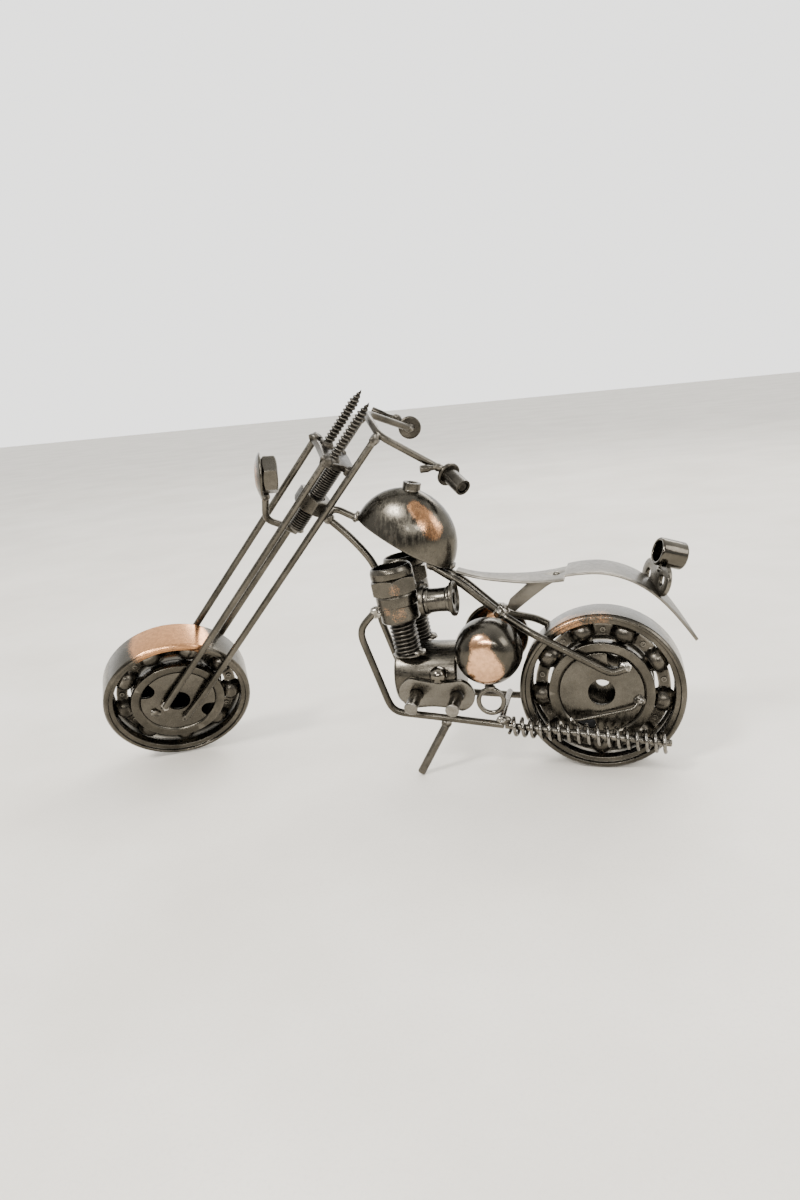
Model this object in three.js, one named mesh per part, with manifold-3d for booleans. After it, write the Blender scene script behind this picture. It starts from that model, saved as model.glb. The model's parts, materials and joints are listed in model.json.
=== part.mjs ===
// A chopper motorcycle ornament welded together from two ball bearings, nuts, bolts,
// chain parts, drawn steel cups, flat strip and round rod.  Millimetres, +Z up, the
// bike faces -X and the side with the stand is -Y.

import * as THREE from 'three';
import { mergeVertices } from 'three/addons/utils/BufferGeometryUtils.js';
import Module from 'manifold-3d';

const wasm = await Module();
wasm.setup();

// ---- driving dimensions ----------------------------------------------------

const DEG = Math.PI / 180;
const GAP = 0.08;              // air left between two pieces that are welded together

const WHEEL_R = 31;            // deep-groove bearing, 62 outside diameter
const WHEEL_W = 16;            // bearing width
const WHEEL_SIDES = 32;
const PITCH_R = 23;            // radius of the ring of balls
const BALL_R = 4.7;
const BALLS = 9;
const RACE_R = 4.95;           // radius of both race grooves
const OUTER_LIP_R = 28.5;       // recessed step inside the outer ring's face
const OUTER_SHOULDER_R = 26.9;
const INNER_SHOULDER_R = 19.6;
const BORE_R = 15.6;
const RING_CHAMFER = 1;
const DISC_OUT = 7.3;          // outer face of a hub disc, from the wheel's middle
const DISC_T = 1.2;
const DISC_HOLE_R = 5;
const DISC_PILOT_R = 2.6;      // smaller centre hole of the far disc
const NOTCH_R = 3.4;
const REAR_Z = WHEEL_R * Math.cos(Math.PI / WHEEL_SIDES);

const HEAD = new THREE.Vector3(-107.9, 0, 109);   // middle of the steering nut
const RAKE = 41 * DEG;         // steering axis from the vertical
const STEER = 36.5 * DEG;      // fork turned as it stands
const FRONT_DROP = 106.3;       // steering nut to front hub, down the steering axis
const FRONT_LEAD = 4.6;        // front hub ahead of the steering axis

const FORK_ROD_R = 1.4;
const FORK_Y = 9.85;           // fork rods from the middle plane
const FRONT_ROD_X = -9.2;      // front pair, across the steering axis
const REAR_ROD_X = 2.6;        // rear pair
const YOKE_Z = 18.6;           // underside of the yoke plate above the steering nut
const YOKE_T = 2.6;
const BOLT_R = 3.2;            // threaded steering stem
const NUT_AF = 13;             // M8 nuts, across flats
const NUT_T = 6.6;
const SCREW_R = 2;
const SCREW_TOP = 46.5;
const BAR_Z = 38.5;            // handlebar above the steering nut

const FRAME_ROD_R = 1.5;
const RAIL_Y = 13.6;           // lower frame rails from the middle plane

const CASE_R = 12.4;            // crankcase bar
const CASE_X = [-79, -53.8];
const CASE_Z = 37.6;
const CYL_Y = 9.6;             // cylinders from the middle plane
const CYL_LEAN = -6.5 * DEG;
const CYL_FOOT = new THREE.Vector3(-72.2, 0, 46);
const STUD_R = 5.2;
const SLEEVE_R = 7.5;
const CYL_NUT_AF = 16.5;

const CUP_R = 13;              // drawn cups below the seat
const CUP_DEPTH = 12.4;
const CUP_Y = 9.3;
const CUP_X = -41;
const CUP_Z = 49.2;

const PLATE_PITCH = 15.875;    // chain link plate with its two pins
const PLATE_R = 7.2;
const PIN_R = 2.4;
const PIN_OUT = 11;
const PLATE_TILT = 10 * DEG;
const PLATE_DROOP = 3.5 * DEG; // plate turned a little, rear end down

const TANK_NOSE = new THREE.Vector3(-90.4, 0, 101.6);
const TANK_SLOPE = 31.3 * DEG;
const TANK_LENGTH = 42;
const TANK_HALF = 12.6;
const TANK_HEIGHT = 21;
const TANK_WALL = 1;

// ---- finishes --------------------------------------------------------------

const GUNMETAL = { color: 0x5f5a50, roughness: 0.32, metalness: 0.9 };
const DARK = { color: 0x4a463f, roughness: 0.36, metalness: 0.9 };
const BLACKENED = { color: 0x35322d, roughness: 0.42, metalness: 0.85 };
const SATIN = { color: 0x857d70, roughness: 0.4, metalness: 0.85 };
const COPPERED = { color: 0x8c6f55, roughness: 0.3, metalness: 0.95 };
const BRIGHT = { color: 0x9a9488, roughness: 0.28, metalness: 0.95 };

// ---- solids ----------------------------------------------------------------

// Closed, indexed, outward-facing copy of a geometry, without sliver triangles.
function clean(source) {
  const bare = new THREE.BufferGeometry();
  bare.setAttribute('position', source.getAttribute('position').clone());
  bare.setIndex(source.getIndex() ? source.getIndex().clone() : null);
  const merged = mergeVertices(bare, 1e-4);
  const position = merged.getAttribute('position');
  const index = merged.getIndex().array;
  const corner = [new THREE.Vector3(), new THREE.Vector3(), new THREE.Vector3()];
  const kept = [];
  let volume = 0;
  for (let i = 0; i < index.length; i += 3) {
    const [a, b, c] = [index[i], index[i + 1], index[i + 2]];
    if (a === b || b === c || c === a) continue;
    corner[0].fromBufferAttribute(position, a);
    corner[1].fromBufferAttribute(position, b);
    corner[2].fromBufferAttribute(position, c);
    volume += corner[0].dot(corner[1].clone().cross(corner[2]));
    kept.push(a, b, c);
  }
  if (volume < 0) kept.reverse();
  merged.setIndex(kept);
  return merged;
}

function toManifold(geometry) {
  const solid = clean(geometry);
  return new wasm.Manifold(new wasm.Mesh({
    numProp: 3,
    vertProperties: new Float32Array(solid.getAttribute('position').array),
    triVerts: new Uint32Array(solid.getIndex().array),
  }));
}

function fromManifold(manifold) {
  const mesh = manifold.getMesh();
  const geometry = new THREE.BufferGeometry();
  geometry.setAttribute('position', new THREE.BufferAttribute(mesh.vertProperties.slice(), 3));
  geometry.setIndex(new THREE.BufferAttribute(mesh.triVerts.slice(), 1));
  return geometry;
}

function cut(body, ...tools) {
  let result = toManifold(body);
  for (const tool of tools) result = result.subtract(toManifold(tool));
  return fromManifold(result);
}

function join(...bodies) {
  return fromManifold(wasm.Manifold.union(bodies.map(toManifold)));
}

// Ring of `sides` points; `turn` moves the first one round from +X.
function polygon(radius, sides, turn = 0) {
  const points = [];
  for (let i = 0; i < sides; i += 1) {
    const angle = turn + (2 * Math.PI * i) / sides;
    points.push(new THREE.Vector2(radius * Math.cos(angle), radius * Math.sin(angle)));
  }
  return points;
}

// Upright prism from z = low to z = high.
function prism(points, low, high) {
  const geometry = new THREE.ExtrudeGeometry(new THREE.Shape(points), {
    depth: high - low, steps: 1, bevelEnabled: false,
  });
  return geometry.translate(0, 0, low);
}

function cylinder(radius, low, high, sides = 20) {
  return prism(polygon(radius, sides), low, high);
}

// Body of revolution about Z from [radius, z] pairs.
function revolve(profile, sides, turn = 0) {
  const points = profile.map(([r, z]) => new THREE.Vector2(r, z));
  return new THREE.LatheGeometry(points, sides, turn).rotateX(Math.PI / 2);
}

// Moves a solid built about Z so that its Z lies along `direction` from `origin`.
function aim(geometry, origin, direction) {
  const turn = new THREE.Quaternion();
  turn.setFromUnitVectors(new THREE.Vector3(0, 0, 1), direction.clone().normalize());
  geometry.applyQuaternion(turn);
  return geometry.translate(origin.x, origin.y, origin.z);
}

// Path through sampled points, one extrusion step from each point to the next.
class RodPath extends THREE.Curve {
  constructor(points) {
    super();
    this.points = points;
  }

  getPoint(t) {
    const last = this.points.length - 1;
    const i = Math.min(Math.floor(t * last + 1e-9), last - 1);
    return this.points[i].clone().lerp(this.points[i + 1], t * last - i);
  }

  getPointAt(u) {
    return this.getPoint(u);
  }

  getTangentAt(u) {
    const last = this.points.length - 1;
    const i = Math.round(u * last);
    const here = this.points[i];
    const tangent = new THREE.Vector3();
    if (i > 0) tangent.add(here.clone().sub(this.points[i - 1]).normalize());
    if (i < last) tangent.add(this.points[i + 1].clone().sub(here).normalize());
    return tangent.normalize();
  }
}

// Round rod along straight runs joined by bends of about the given radius.
function rod(corners, radius, bend = 3, sides = 8, arcs = 3) {
  const knots = corners.map(([x, y, z]) => new THREE.Vector3(x, y, z));
  const points = [knots[0]];
  for (let i = 1; i < knots.length - 1; i += 1) {
    const before = knots[i - 1].clone().sub(knots[i]);
    const after = knots[i + 1].clone().sub(knots[i]);
    const start = knots[i].clone().addScaledVector(
      before.clone().normalize(), Math.min(bend, before.length() * 0.45));
    const end = knots[i].clone().addScaledVector(
      after.clone().normalize(), Math.min(bend, after.length() * 0.45));
    const curve = new THREE.QuadraticBezierCurve3(start, knots[i], end);
    points.push(...curve.getPoints(arcs));
  }
  points.push(knots[knots.length - 1]);
  return sweep(points, radius, sides);
}

function sweep(points, radius, sides) {
  return new THREE.ExtrudeGeometry(new THREE.Shape(polygon(radius, sides)), {
    steps: points.length - 1, bevelEnabled: false, extrudePath: new RodPath(points),
  });
}

// Flat strip bent along a line in the XZ plane.  Stations are [x, z, half width].
function strip(stations, thickness) {
  const corners = [];
  stations.forEach(([x, z, half], i) => {
    const before = stations[Math.max(i - 1, 0)];
    const after = stations[Math.min(i + 1, stations.length - 1)];
    const along = new THREE.Vector2(after[0] - before[0], after[1] - before[1]).normalize();
    const up = new THREE.Vector2(-along.y, along.x).multiplyScalar(thickness / 2);
    corners.push([x + up.x, -half, z + up.y], [x + up.x, half, z + up.y]);
    corners.push([x - up.x, half, z - up.y], [x - up.x, -half, z - up.y]);
  });
  const faces = [];
  const last = stations.length - 1;
  for (let i = 0; i < last; i += 1) {
    for (let j = 0; j < 4; j += 1) {
      const [a, b] = [4 * i + j, 4 * i + ((j + 1) % 4)];
      faces.push(a, b, b + 4, a, b + 4, a + 4);
    }
  }
  faces.push(0, 2, 1, 0, 3, 2);
  faces.push(4 * last, 4 * last + 1, 4 * last + 2, 4 * last, 4 * last + 2, 4 * last + 3);
  const geometry = new THREE.BufferGeometry();
  geometry.setAttribute('position', new THREE.Float32BufferAttribute(corners.flat(), 3));
  geometry.setIndex(faces);
  return geometry;
}

// Dome on a closed outline in the XY plane, rising to `height` over `centre`.
function domeOver(outline, centre, height, rings) {
  const points = [];
  for (let k = 0; k < rings; k += 1) {
    const climb = (k / rings) * (Math.PI / 2);
    for (const rim of outline) {
      points.push([
        centre.x + (rim.x - centre.x) * Math.cos(climb),
        centre.y + (rim.y - centre.y) * Math.cos(climb),
        height * Math.sin(climb),
      ]);
    }
  }
  const n = outline.length;
  const top = points.push([centre.x, centre.y, height]) - 1;
  const base = points.push([centre.x, centre.y, 0]) - 1;
  const faces = [];
  for (let i = 0; i < n; i += 1) {
    const j = (i + 1) % n;
    for (let k = 0; k < rings - 1; k += 1) {
      const [a, b, c, d] = [k * n + i, k * n + j, (k + 1) * n + j, (k + 1) * n + i];
      faces.push(a, b, c, a, c, d);
    }
    faces.push((rings - 1) * n + i, (rings - 1) * n + j, top);
    faces.push(j, i, base);
  }
  const geometry = new THREE.BufferGeometry();
  geometry.setAttribute('position', new THREE.Float32BufferAttribute(points.flat(), 3));
  geometry.setIndex(faces);
  return geometry;
}

// ---- assembly --------------------------------------------------------------

const bike = new THREE.Group();
const fork = new THREE.Group();
fork.position.copy(HEAD);
fork.rotation.set(0, RAKE, STEER, 'YXZ');
bike.add(fork);

function add(name, geometry, finish, parent = bike) {
  const solid = clean(geometry).toNonIndexed();
  solid.computeVertexNormals();
  const mesh = new THREE.Mesh(solid, new THREE.MeshStandardMaterial(finish));
  mesh.name = name;
  parent.add(mesh);
  return mesh;
}

// ---- bearing wheel, axle along Y --------------------------------------------

function wheel(prefix, parent, centre, notchTurn, ballTurn) {
  const half = WHEEL_W / 2;
  const c = RING_CHAMFER;
  const grooveHalf = 4.6;
  const outerGroove = PITCH_R + RACE_R;
  const innerGroove = PITCH_R - RACE_R;
  const place = (geometry) => geometry.rotateX(Math.PI / 2).translate(...centre);

  const outer = [
    [WHEEL_R - c, -half], [WHEEL_R, c - half], [WHEEL_R, half - c], [WHEEL_R - c, half],
    [OUTER_LIP_R, half], [OUTER_LIP_R, half - 1.2], [OUTER_SHOULDER_R, half - 1.4],
    [OUTER_SHOULDER_R, grooveHalf], [outerGroove, 1.6], [outerGroove, -1.6],
    [OUTER_SHOULDER_R, -grooveHalf], [OUTER_SHOULDER_R, 1.4 - half],
    [OUTER_LIP_R, 1.2 - half], [OUTER_LIP_R, -half], [WHEEL_R - c, -half],
  ];
  add(`${prefix}_outer_ring`,
    place(revolve(outer, WHEEL_SIDES, Math.PI / WHEEL_SIDES)), SATIN, parent);

  const inner = [
    [BORE_R + c, -half], [BORE_R, c - half], [BORE_R, half - c], [BORE_R + c, half],
    [INNER_SHOULDER_R, half], [INNER_SHOULDER_R, grooveHalf - 1], [innerGroove, 1.4],
    [innerGroove, -1.4], [INNER_SHOULDER_R, 1 - grooveHalf], [INNER_SHOULDER_R, -half],
    [BORE_R + c, -half],
  ];
  add(`${prefix}_inner_ring`, place(revolve(inner, WHEEL_SIDES)), GUNMETAL, parent);

  const band = revolve([
    [PITCH_R - 1.6, -1.2], [PITCH_R + 1.6, -1.2], [PITCH_R + 1.6, 1.2],
    [PITCH_R - 1.6, 1.2], [PITCH_R - 1.6, -1.2],
  ], WHEEL_SIDES);
  const balls = [];
  for (let i = 0; i < BALLS; i += 1) {
    const angle = ballTurn + (2 * Math.PI * i) / BALLS;
    const ball = new THREE.SphereGeometry(BALL_R, 9, 6).rotateX(Math.PI / 2);
    balls.push(ball.translate(PITCH_R * Math.cos(angle), PITCH_R * Math.sin(angle), 0));
  }
  add(`${prefix}_ball_cage`, place(join(band, ...balls)), DARK, parent);

  const blank = cylinder(BORE_R - 0.15, DISC_OUT - DISC_T, DISC_OUT, WHEEL_SIDES);
  const notches = [];
  for (const turn of [notchTurn, notchTurn + Math.PI]) {
    const notch = cylinder(NOTCH_R, 0, WHEEL_W, 12);
    notches.push(notch.translate(
      (BORE_R - 1.2) * Math.cos(turn), (BORE_R - 1.2) * Math.sin(turn), 0));
  }
  const disc = cut(blank, ...notches);
  const nearDisc = cut(disc, cylinder(DISC_HOLE_R, 0, WHEEL_W, 16));
  const farDisc = cut(disc, cylinder(DISC_PILOT_R, 0, WHEEL_W, 12));
  add(`${prefix}_hub_disc_near`, place(nearDisc), GUNMETAL, parent);
  add(`${prefix}_hub_disc_far`, place(farDisc.scale(1, 1, -1)), GUNMETAL, parent);
}

wheel('rear', bike, [0, 0, REAR_Z], 66 * DEG, 27 * DEG);
wheel('front', fork, [-FRONT_LEAD, 0, -FRONT_DROP], 3 * DEG, 25.5 * DEG);

// ---- fork, turned as one piece about the steering axis (its own Z) -----------

const SIDES = [['near', -1], ['far', 1]];
const ROD_END_Y = DISC_OUT + FORK_ROD_R + GAP;

for (const [side, s] of SIDES) {
  const foot = -FRONT_DROP;
  add(`fork_rod_${side}_front`, rod([
    [FRONT_ROD_X, s * FORK_Y, YOKE_Z - GAP],
    [FRONT_ROD_X, s * FORK_Y, foot + 12],
    [FRONT_ROD_X + 0.4, s * ROD_END_Y, foot - 4],
  ], FORK_ROD_R, 5), GUNMETAL, fork);
  add(`fork_rod_${side}_rear`, rod([
    [REAR_ROD_X, s * FORK_Y, BAR_Z - 2 * FORK_ROD_R - GAP],
    [REAR_ROD_X, s * FORK_Y, foot + 12],
    [REAR_ROD_X - 0.4, s * ROD_END_Y, foot - 6],
  ], FORK_ROD_R, 5), GUNMETAL, fork);

  const screw = revolve([
    [0, YOKE_Z + YOKE_T + GAP], [SCREW_R, YOKE_Z + YOKE_T + GAP],
    [SCREW_R, SCREW_TOP - 5], [0, SCREW_TOP],
  ], 10).translate(-5.6, s * 6, 0);
  add(`spring_screw_${side}`, screw, BLACKENED, fork);
}

// Yoke plate: wide at the front pair of rods, waisted to the rear pair.
const yokeOutline = [
  [-11, -11.4], [-4.4, -10.6], [-1.2, -8.2], [4.2, -8.2], [5, -5], [5, 5],
  [4.2, 8.2], [-1.2, 8.2], [-4.4, 10.6], [-11, 11.4], [-9.8, 4], [-9.8, -4],
].map(([x, y]) => new THREE.Vector2(x, y));
add('fork_yoke', prism(yokeOutline, YOKE_Z, YOKE_Z + YOKE_T), BLACKENED, fork);

add('steering_bolt', cylinder(BOLT_R, -13.2, YOKE_Z - GAP, 16), BLACKENED, fork);

// Handlebar: one rod, swept back from a short cross run over the rear fork rods.
const GRIPS = {
  near: { at: [31, -21.5, 41.2], aim: [0.33, -0.92, 0.16] },
  far: { at: [28, 20.4, 39.4], aim: [0.5, 0.85, -0.2] },
};
const LEVERS = {
  near: [[-5.8, 0.5, 0.2], [-8.4, 1, -2], [-11, 1.6, -4.2]],
  far: [[-5.4, 3.5, 0.2], [-9.9, 5.9, -1.8], [-14.8, 8.6, -3]],
};
const armEnd = ({ at, aim: [x, y, z] }) => {
  const reach = 2.2 / Math.hypot(x, y, z);
  return [at[0] - x * reach, at[1] - y * reach, at[2] - z * reach];
};
add('handlebar', rod([
  armEnd(GRIPS.near),
  [REAR_ROD_X + 0.6, -FORK_Y - 0.6, BAR_Z],
  [REAR_ROD_X - 1, 0, BAR_Z + 0.6],
  [REAR_ROD_X + 0.6, FORK_Y + 0.6, BAR_Z],
  [GRIPS.far.at[0] - 5, GRIPS.far.at[1] - 3.4, GRIPS.far.at[2] + 0.2],
  armEnd(GRIPS.far),
], FORK_ROD_R, 3.5), GUNMETAL, fork);

for (const side of ['near', 'far']) {
  const grip = GRIPS[side];
  const origin = new THREE.Vector3(...grip.at);
  const outward = new THREE.Vector3(...grip.aim);
  const washer = revolve([
    [0, -0.7], [4.3, -0.7], [4.7, -0.3], [4.7, 0.6], [4.2, 1.1],
    [3.1, 1.1], [3.1, 9.4], [2, 9.4], [2, 3], [0, 3],
  ], 16);
  add(`grip_${side}`, aim(washer, origin, outward), DARK, fork);
  const leverKnots = LEVERS[side].map(([x, y, z]) => [
    grip.at[0] + x, grip.at[1] + y, grip.at[2] + z]);
  add(`lever_${side}`, rod(leverKnots, side === 'near' ? 1.4 : 1.2, 2), DARK, fork);
}

// Headlight: domed disc on a nut, carried on a rod bent up from the bolt's foot.
const LIGHT = new THREE.Vector3(-21.1, 0.4, 1.9);
const LIGHT_AIM = new THREE.Vector3(-0.83, 0.09, -0.55);
const bracketEnd = LIGHT.clone().add(new THREE.Vector3(3.4, -0.3, -8.6));
add('headlight_bracket', rod([
  [1.5, 0, -13.2 - FORK_ROD_R - GAP],
  [-6, 0, -13.2 - FORK_ROD_R - GAP],
  [-12.6, 0, -15.4],
  bracketEnd.toArray(),
], FORK_ROD_R, 3), GUNMETAL, fork);
const lightNut = prism(polygon(NUT_AF / Math.sqrt(3), 6, 30 * DEG), -3.2, 2.6);
add('headlight_nut', aim(cut(lightNut, cylinder(3.4, -8, 8, 16)), LIGHT, LIGHT_AIM),
  GUNMETAL, fork);
const lens = revolve([[0, 2.6 + GAP], [8.6, 2.6 + GAP], [8.8, 3.5], [6.2, 4.7], [0, 5.5]], 20);
add('headlight_lens', aim(lens, LIGHT, LIGHT_AIM), COPPERED, fork);

// ---- steering head and front of the frame ------------------------------------

const headNut = cut(prism(polygon(NUT_AF / Math.sqrt(3), 6), -NUT_T / 2, NUT_T / 2),
  cylinder(BOLT_R + 0.3, -NUT_T, NUT_T, 16));
const up = new THREE.Vector3(Math.sin(RAKE), 0, Math.cos(RAKE));
add('steering_nut', aim(headNut, HEAD, up), GUNMETAL);

add('head_link', rod([
  [-100.2, 0, 105.1], [-97.8, 0, 105], [-91.2, 0, 101.5],
], FORK_ROD_R, 2), GUNMETAL);
add('downtube', rod([
  [-101.9, 0, 101.3], [-94.6, 0, 94.4], [-86.6, 0, 84.6], [-84.3, 0, 78], [-83.4, 0, 70.5],
], FRAME_ROD_R, 6), GUNMETAL);

// ---- fuel tank: drawn teardrop shell, open underneath -------------------------

function tankOutline(inset) {
  const outline = [];
  const sides = 24;
  const widest = TANK_LENGTH * 0.6;
  for (let i = 0; i < sides; i += 1) {
    const angle = (2 * Math.PI * i) / sides;
    const across = Math.sin(angle) * (TANK_HALF - inset);
    const rear = Math.cos(angle) * (TANK_LENGTH - widest - inset);
    const front = -((Math.abs(Math.cos(angle)) ** 1.25) * (widest - 1.8 * inset));
    outline.push(new THREE.Vector2(widest + (Math.cos(angle) > 0 ? rear : front), across));
  }
  return outline;
}

const tankCentre = new THREE.Vector2(TANK_LENGTH * 0.47, 0);
const tankBody = domeOver(tankOutline(0), tankCentre, TANK_HEIGHT, 7);
const tankHollow = domeOver(tankOutline(TANK_WALL), tankCentre, TANK_HEIGHT, 7);
tankHollow.translate(0, 0, -TANK_WALL);
const placeTank = (geometry) => geometry
  .rotateY(TANK_SLOPE).translate(TANK_NOSE.x, TANK_NOSE.y, TANK_NOSE.z);
add('tank_shell', placeTank(cut(tankBody, tankHollow)), GUNMETAL);

const capRim = revolve([
  [2, -3], [3.5, -3], [3.5, 2.7], [2, 2.7], [2, 1], [0, 1], [0, -3], [2, -3],
], 16);
const cap = aim(capRim, new THREE.Vector3(-67.6, 0, 111), new THREE.Vector3(0.24, 0, 1));
const tankSkin = placeTank(domeOver(tankOutline(-GAP), tankCentre, TANK_HEIGHT + GAP, 7));
add('tank_cap', cut(cap, tankSkin), GUNMETAL);

// ---- engine -------------------------------------------------------------------

const along = new THREE.Vector3(1, 0, 0);
const caseBar = (radius) => aim(cylinder(radius, CASE_X[0], CASE_X[1], 28),
  new THREE.Vector3(0, 0, CASE_Z), along);
add('crankcase', caseBar(CASE_R), GUNMETAL);

const hexCorner = CYL_NUT_AF / Math.sqrt(3);
for (const [side, s] of SIDES) {
  const place = (geometry) => geometry
    .rotateY(CYL_LEAN).translate(CYL_FOOT.x, s * CYL_Y, CYL_FOOT.z);
  const stud = place(cylinder(STUD_R, 2.6, 23, 20));
  add(`cylinder_stud_${side}`, cut(stud, caseBar(CASE_R + GAP)), BLACKENED);

  const hexBand = prism(polygon(hexCorner, 6, -77 * DEG), 27.2, 33.8);
  const round = revolve([
    [STUD_R + 0.2, 16.2], [SLEEVE_R - 0.5, 16.2], [SLEEVE_R, 16.8], [SLEEVE_R, 22.4],
    [SLEEVE_R + 0.3, 22.8], [SLEEVE_R + 0.3, 26.8], [8.1, 27.2], [8.3, 33.4], [8.3, 36.4],
    [7.7, 38], [6.9, 38], [6.9, 28.2], [STUD_R + 0.2, 26], [STUD_R + 0.2, 16.2],
  ], 20);
  const hollow = revolve([[0, 0], [STUD_R + 0.2, 0], [STUD_R + 0.2, 26], [6.9, 28.2],
    [6.9, 40], [0, 40]], 20);
  add(`cylinder_nut_${side}`, place(join(cut(hexBand, hollow), round)), GUNMETAL);
}

// Air cleaner: a chain roller between two washers, lying along the bike.
const spoolStart = new THREE.Vector3(-65.2, -10.2, 69.4);
const spoolAim = new THREE.Vector3(1, -0.02, 0.06);
const spool = (radius, bore, low, high, sides) => aim(
  revolve([[bore, low], [radius, low], [radius, high], [bore, high], [bore, low]], sides),
  spoolStart, spoolAim);
add('air_flange_front', spool(6, 2.2, 0, 1.9, 20), DARK);
add('air_roller', spool(4.7, 2.6, 1.9 + GAP, 11.6, 18), BRIGHT);
add('air_flange_rear', spool(6.7, 2.2, 11.6 + GAP, 13.4, 20), DARK);

// Two drawn cups with their mouths facing each other.
for (const [side, s] of SIDES) {
  const wall = 1;
  const profile = [];
  const steps = 5;
  for (let i = 0; i <= steps; i += 1) {
    const climb = (i / steps) * (Math.PI / 2);
    profile.push([CUP_R * Math.cos(climb) ** 0.6, CUP_DEPTH * Math.sin(climb)]);
  }
  profile[steps][0] = 0;
  for (let i = steps; i >= 0; i -= 1) {
    const climb = (i / steps) * (Math.PI / 2);
    profile.push([(CUP_R - wall) * Math.cos(climb) ** 0.6, (CUP_DEPTH - wall) * Math.sin(climb)]);
  }
  profile[steps + 1][0] = 0;
  profile.push(profile[0]);
  const cup = revolve(profile, 20).rotateX(s < 0 ? Math.PI / 2 : -Math.PI / 2);
  add(`drive_cup_${side}`, cup.translate(CUP_X, s * CUP_Y, CUP_Z), COPPERED);
}

// Chain link plate and pins on the near side of the crankcase.
const plateAim = new THREE.Vector3(0, -Math.cos(PLATE_TILT), -Math.sin(PLATE_TILT));
const plateX = -62;
const touch = new THREE.Vector3(plateX, 0, CASE_Z).addScaledVector(plateAim, CASE_R + GAP);
touch.add(new THREE.Vector3(0, Math.sin(PLATE_TILT), -Math.cos(PLATE_TILT)).multiplyScalar(2.6));
const placePlate = (geometry) => geometry
  .rotateZ(-PLATE_DROOP).rotateX(Math.PI / 2 + PLATE_TILT).translate(touch.x, touch.y, touch.z);

// Chain plate blank: two round ends joined by a slightly waisted middle.
function linkPlate(pitch, radius, waist, holeRadius, thickness) {
  const outline = [];
  for (const [end, from] of [[1, -75], [-1, 105]]) {
    for (let i = 0; i <= 10; i += 1) {
      const angle = (from + 15 * i) * DEG;
      outline.push(new THREE.Vector2(
        (end * pitch) / 2 + radius * Math.cos(angle), radius * Math.sin(angle)));
    }
    outline.push(new THREE.Vector2(0, end * waist));
  }
  const holes = [-1, 1].map((end) => cylinder(holeRadius, -1, thickness + 1, 14)
    .translate((end * pitch) / 2, 0, 0));
  return cut(prism(outline, 0, thickness), ...holes);
}
add('chain_plate', placePlate(linkPlate(PLATE_PITCH, PLATE_R, 5.4, PIN_R + GAP, 2)), SATIN);
for (const [end, s] of [['front', -1], ['rear', 1]]) {
  const pin = cylinder(PIN_R, GAP, PIN_OUT + 2, 14).translate((s * PLATE_PITCH) / 2, 0, 0);
  add(`chain_pin_${end}`, placePlate(pin), BRIGHT);
}
add('timing_ball', new THREE.SphereGeometry(3.6, 14, 10).translate(plateX + 1.9, -15.6, 41.4),
  DARK);

// ---- frame rods -----------------------------------------------------------------

// Near side: cylinder collar, down to the rail and back to the exhaust.
add('crash_bar_near', rod([
  [-83.7, -13.4, 66.2], [-90.6, -RAIL_Y, 59.4], [-80.4, -RAIL_Y, 25.6],
  [-60, -RAIL_Y, 23.2], [-36.6, -RAIL_Y, 20.2],
], FORK_ROD_R, 4.5), GUNMETAL);
add('crash_bar_far', rod([
  [-83.7, 13.4, 66.2], [-90.6, RAIL_Y, 59.4], [-80.4, RAIL_Y, 25.6],
  [-60, RAIL_Y, 23.8], [-33, RAIL_Y - 1.6, 22.4], [-12, ROD_END_Y + 1.1, 22.6],
  [-6.5, ROD_END_Y + 0.02, 22.9],
], FORK_ROD_R, 4.5), GUNMETAL);
add('cross_rod', rod([[-37.2, -RAIL_Y - 2.2, 23.3], [-37.2, RAIL_Y - 2.8, 24.7]], 1.2),
  BRIGHT);

const STAY_Y = WHEEL_W / 2 + FRAME_ROD_R + 0.4;
const STAY_END_Y = DISC_OUT + FRAME_ROD_R + GAP;
for (const [side, s] of SIDES) {
  add(`frame_rod_${side}`, rod([
    [-62, s * 2.8, 81.6], [-50.4, s * 2.8, 73.6], [-36.4, s * 1.9, 60.8],
    [-24.2, s * STAY_Y, 55.4], [4.2, s * STAY_Y, 39.1], [9, s * STAY_END_Y, 40.8],
  ], FRAME_ROD_R, 3.2), GUNMETAL);
}

add('kick_stand', cut(
  rod([[-59.2, -RAIL_Y - 0.4, 20.3], [-72.6, -16.3, -2.6]], 1.6),
  prism([[-99, -40], [-40, -40], [-40, 0], [-99, 0]].map(([x, y]) => new THREE.Vector2(x, y)),
    -9, 0)), DARK);

// ---- seat, fender and tail ---------------------------------------------------------

const seatStations = [
  [-52.6, 78.6, 3.2], [-48, 77.1, 3.7], [-42, 75.8, 4.5], [-34, 74.9, 5.8],
  [-25, 74.4, 7.6], [-17, 74.8, 9.4], [-11.4, 75.5, 10.6],
];
add('seat', strip(seatStations, 1.2), SATIN);

const fenderStations = [
  [-11, 76.9, 9.8], [-6, 77.5, 10.4], [0, 77.6, 10.5], [6, 76.6, 10.4], [12, 74.3, 10.1],
  [17, 71.2, 9.6], [21.5, 67.2, 8.6], [26, 61.8, 6.6], [30.6, 55, 3.6], [34.6, 48.4, 0.6],
];
const fender = strip(fenderStations, 1);
add('fender', fender, SATIN);

add('seat_strut', new THREE.ExtrudeGeometry(new THREE.Shape([
  [-34.4, 63.2], [-31.4, 61.3], [-24, 67], [-18.6, 70.9], [-12.5, 74.4],
  [-24.6, 73.4], [-33, 66.4],
].map(([x, z]) => new THREE.Vector2(x, -z))), { depth: 1.2, steps: 1, bevelEnabled: false })
  .rotateX(-Math.PI / 2), SATIN);

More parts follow.
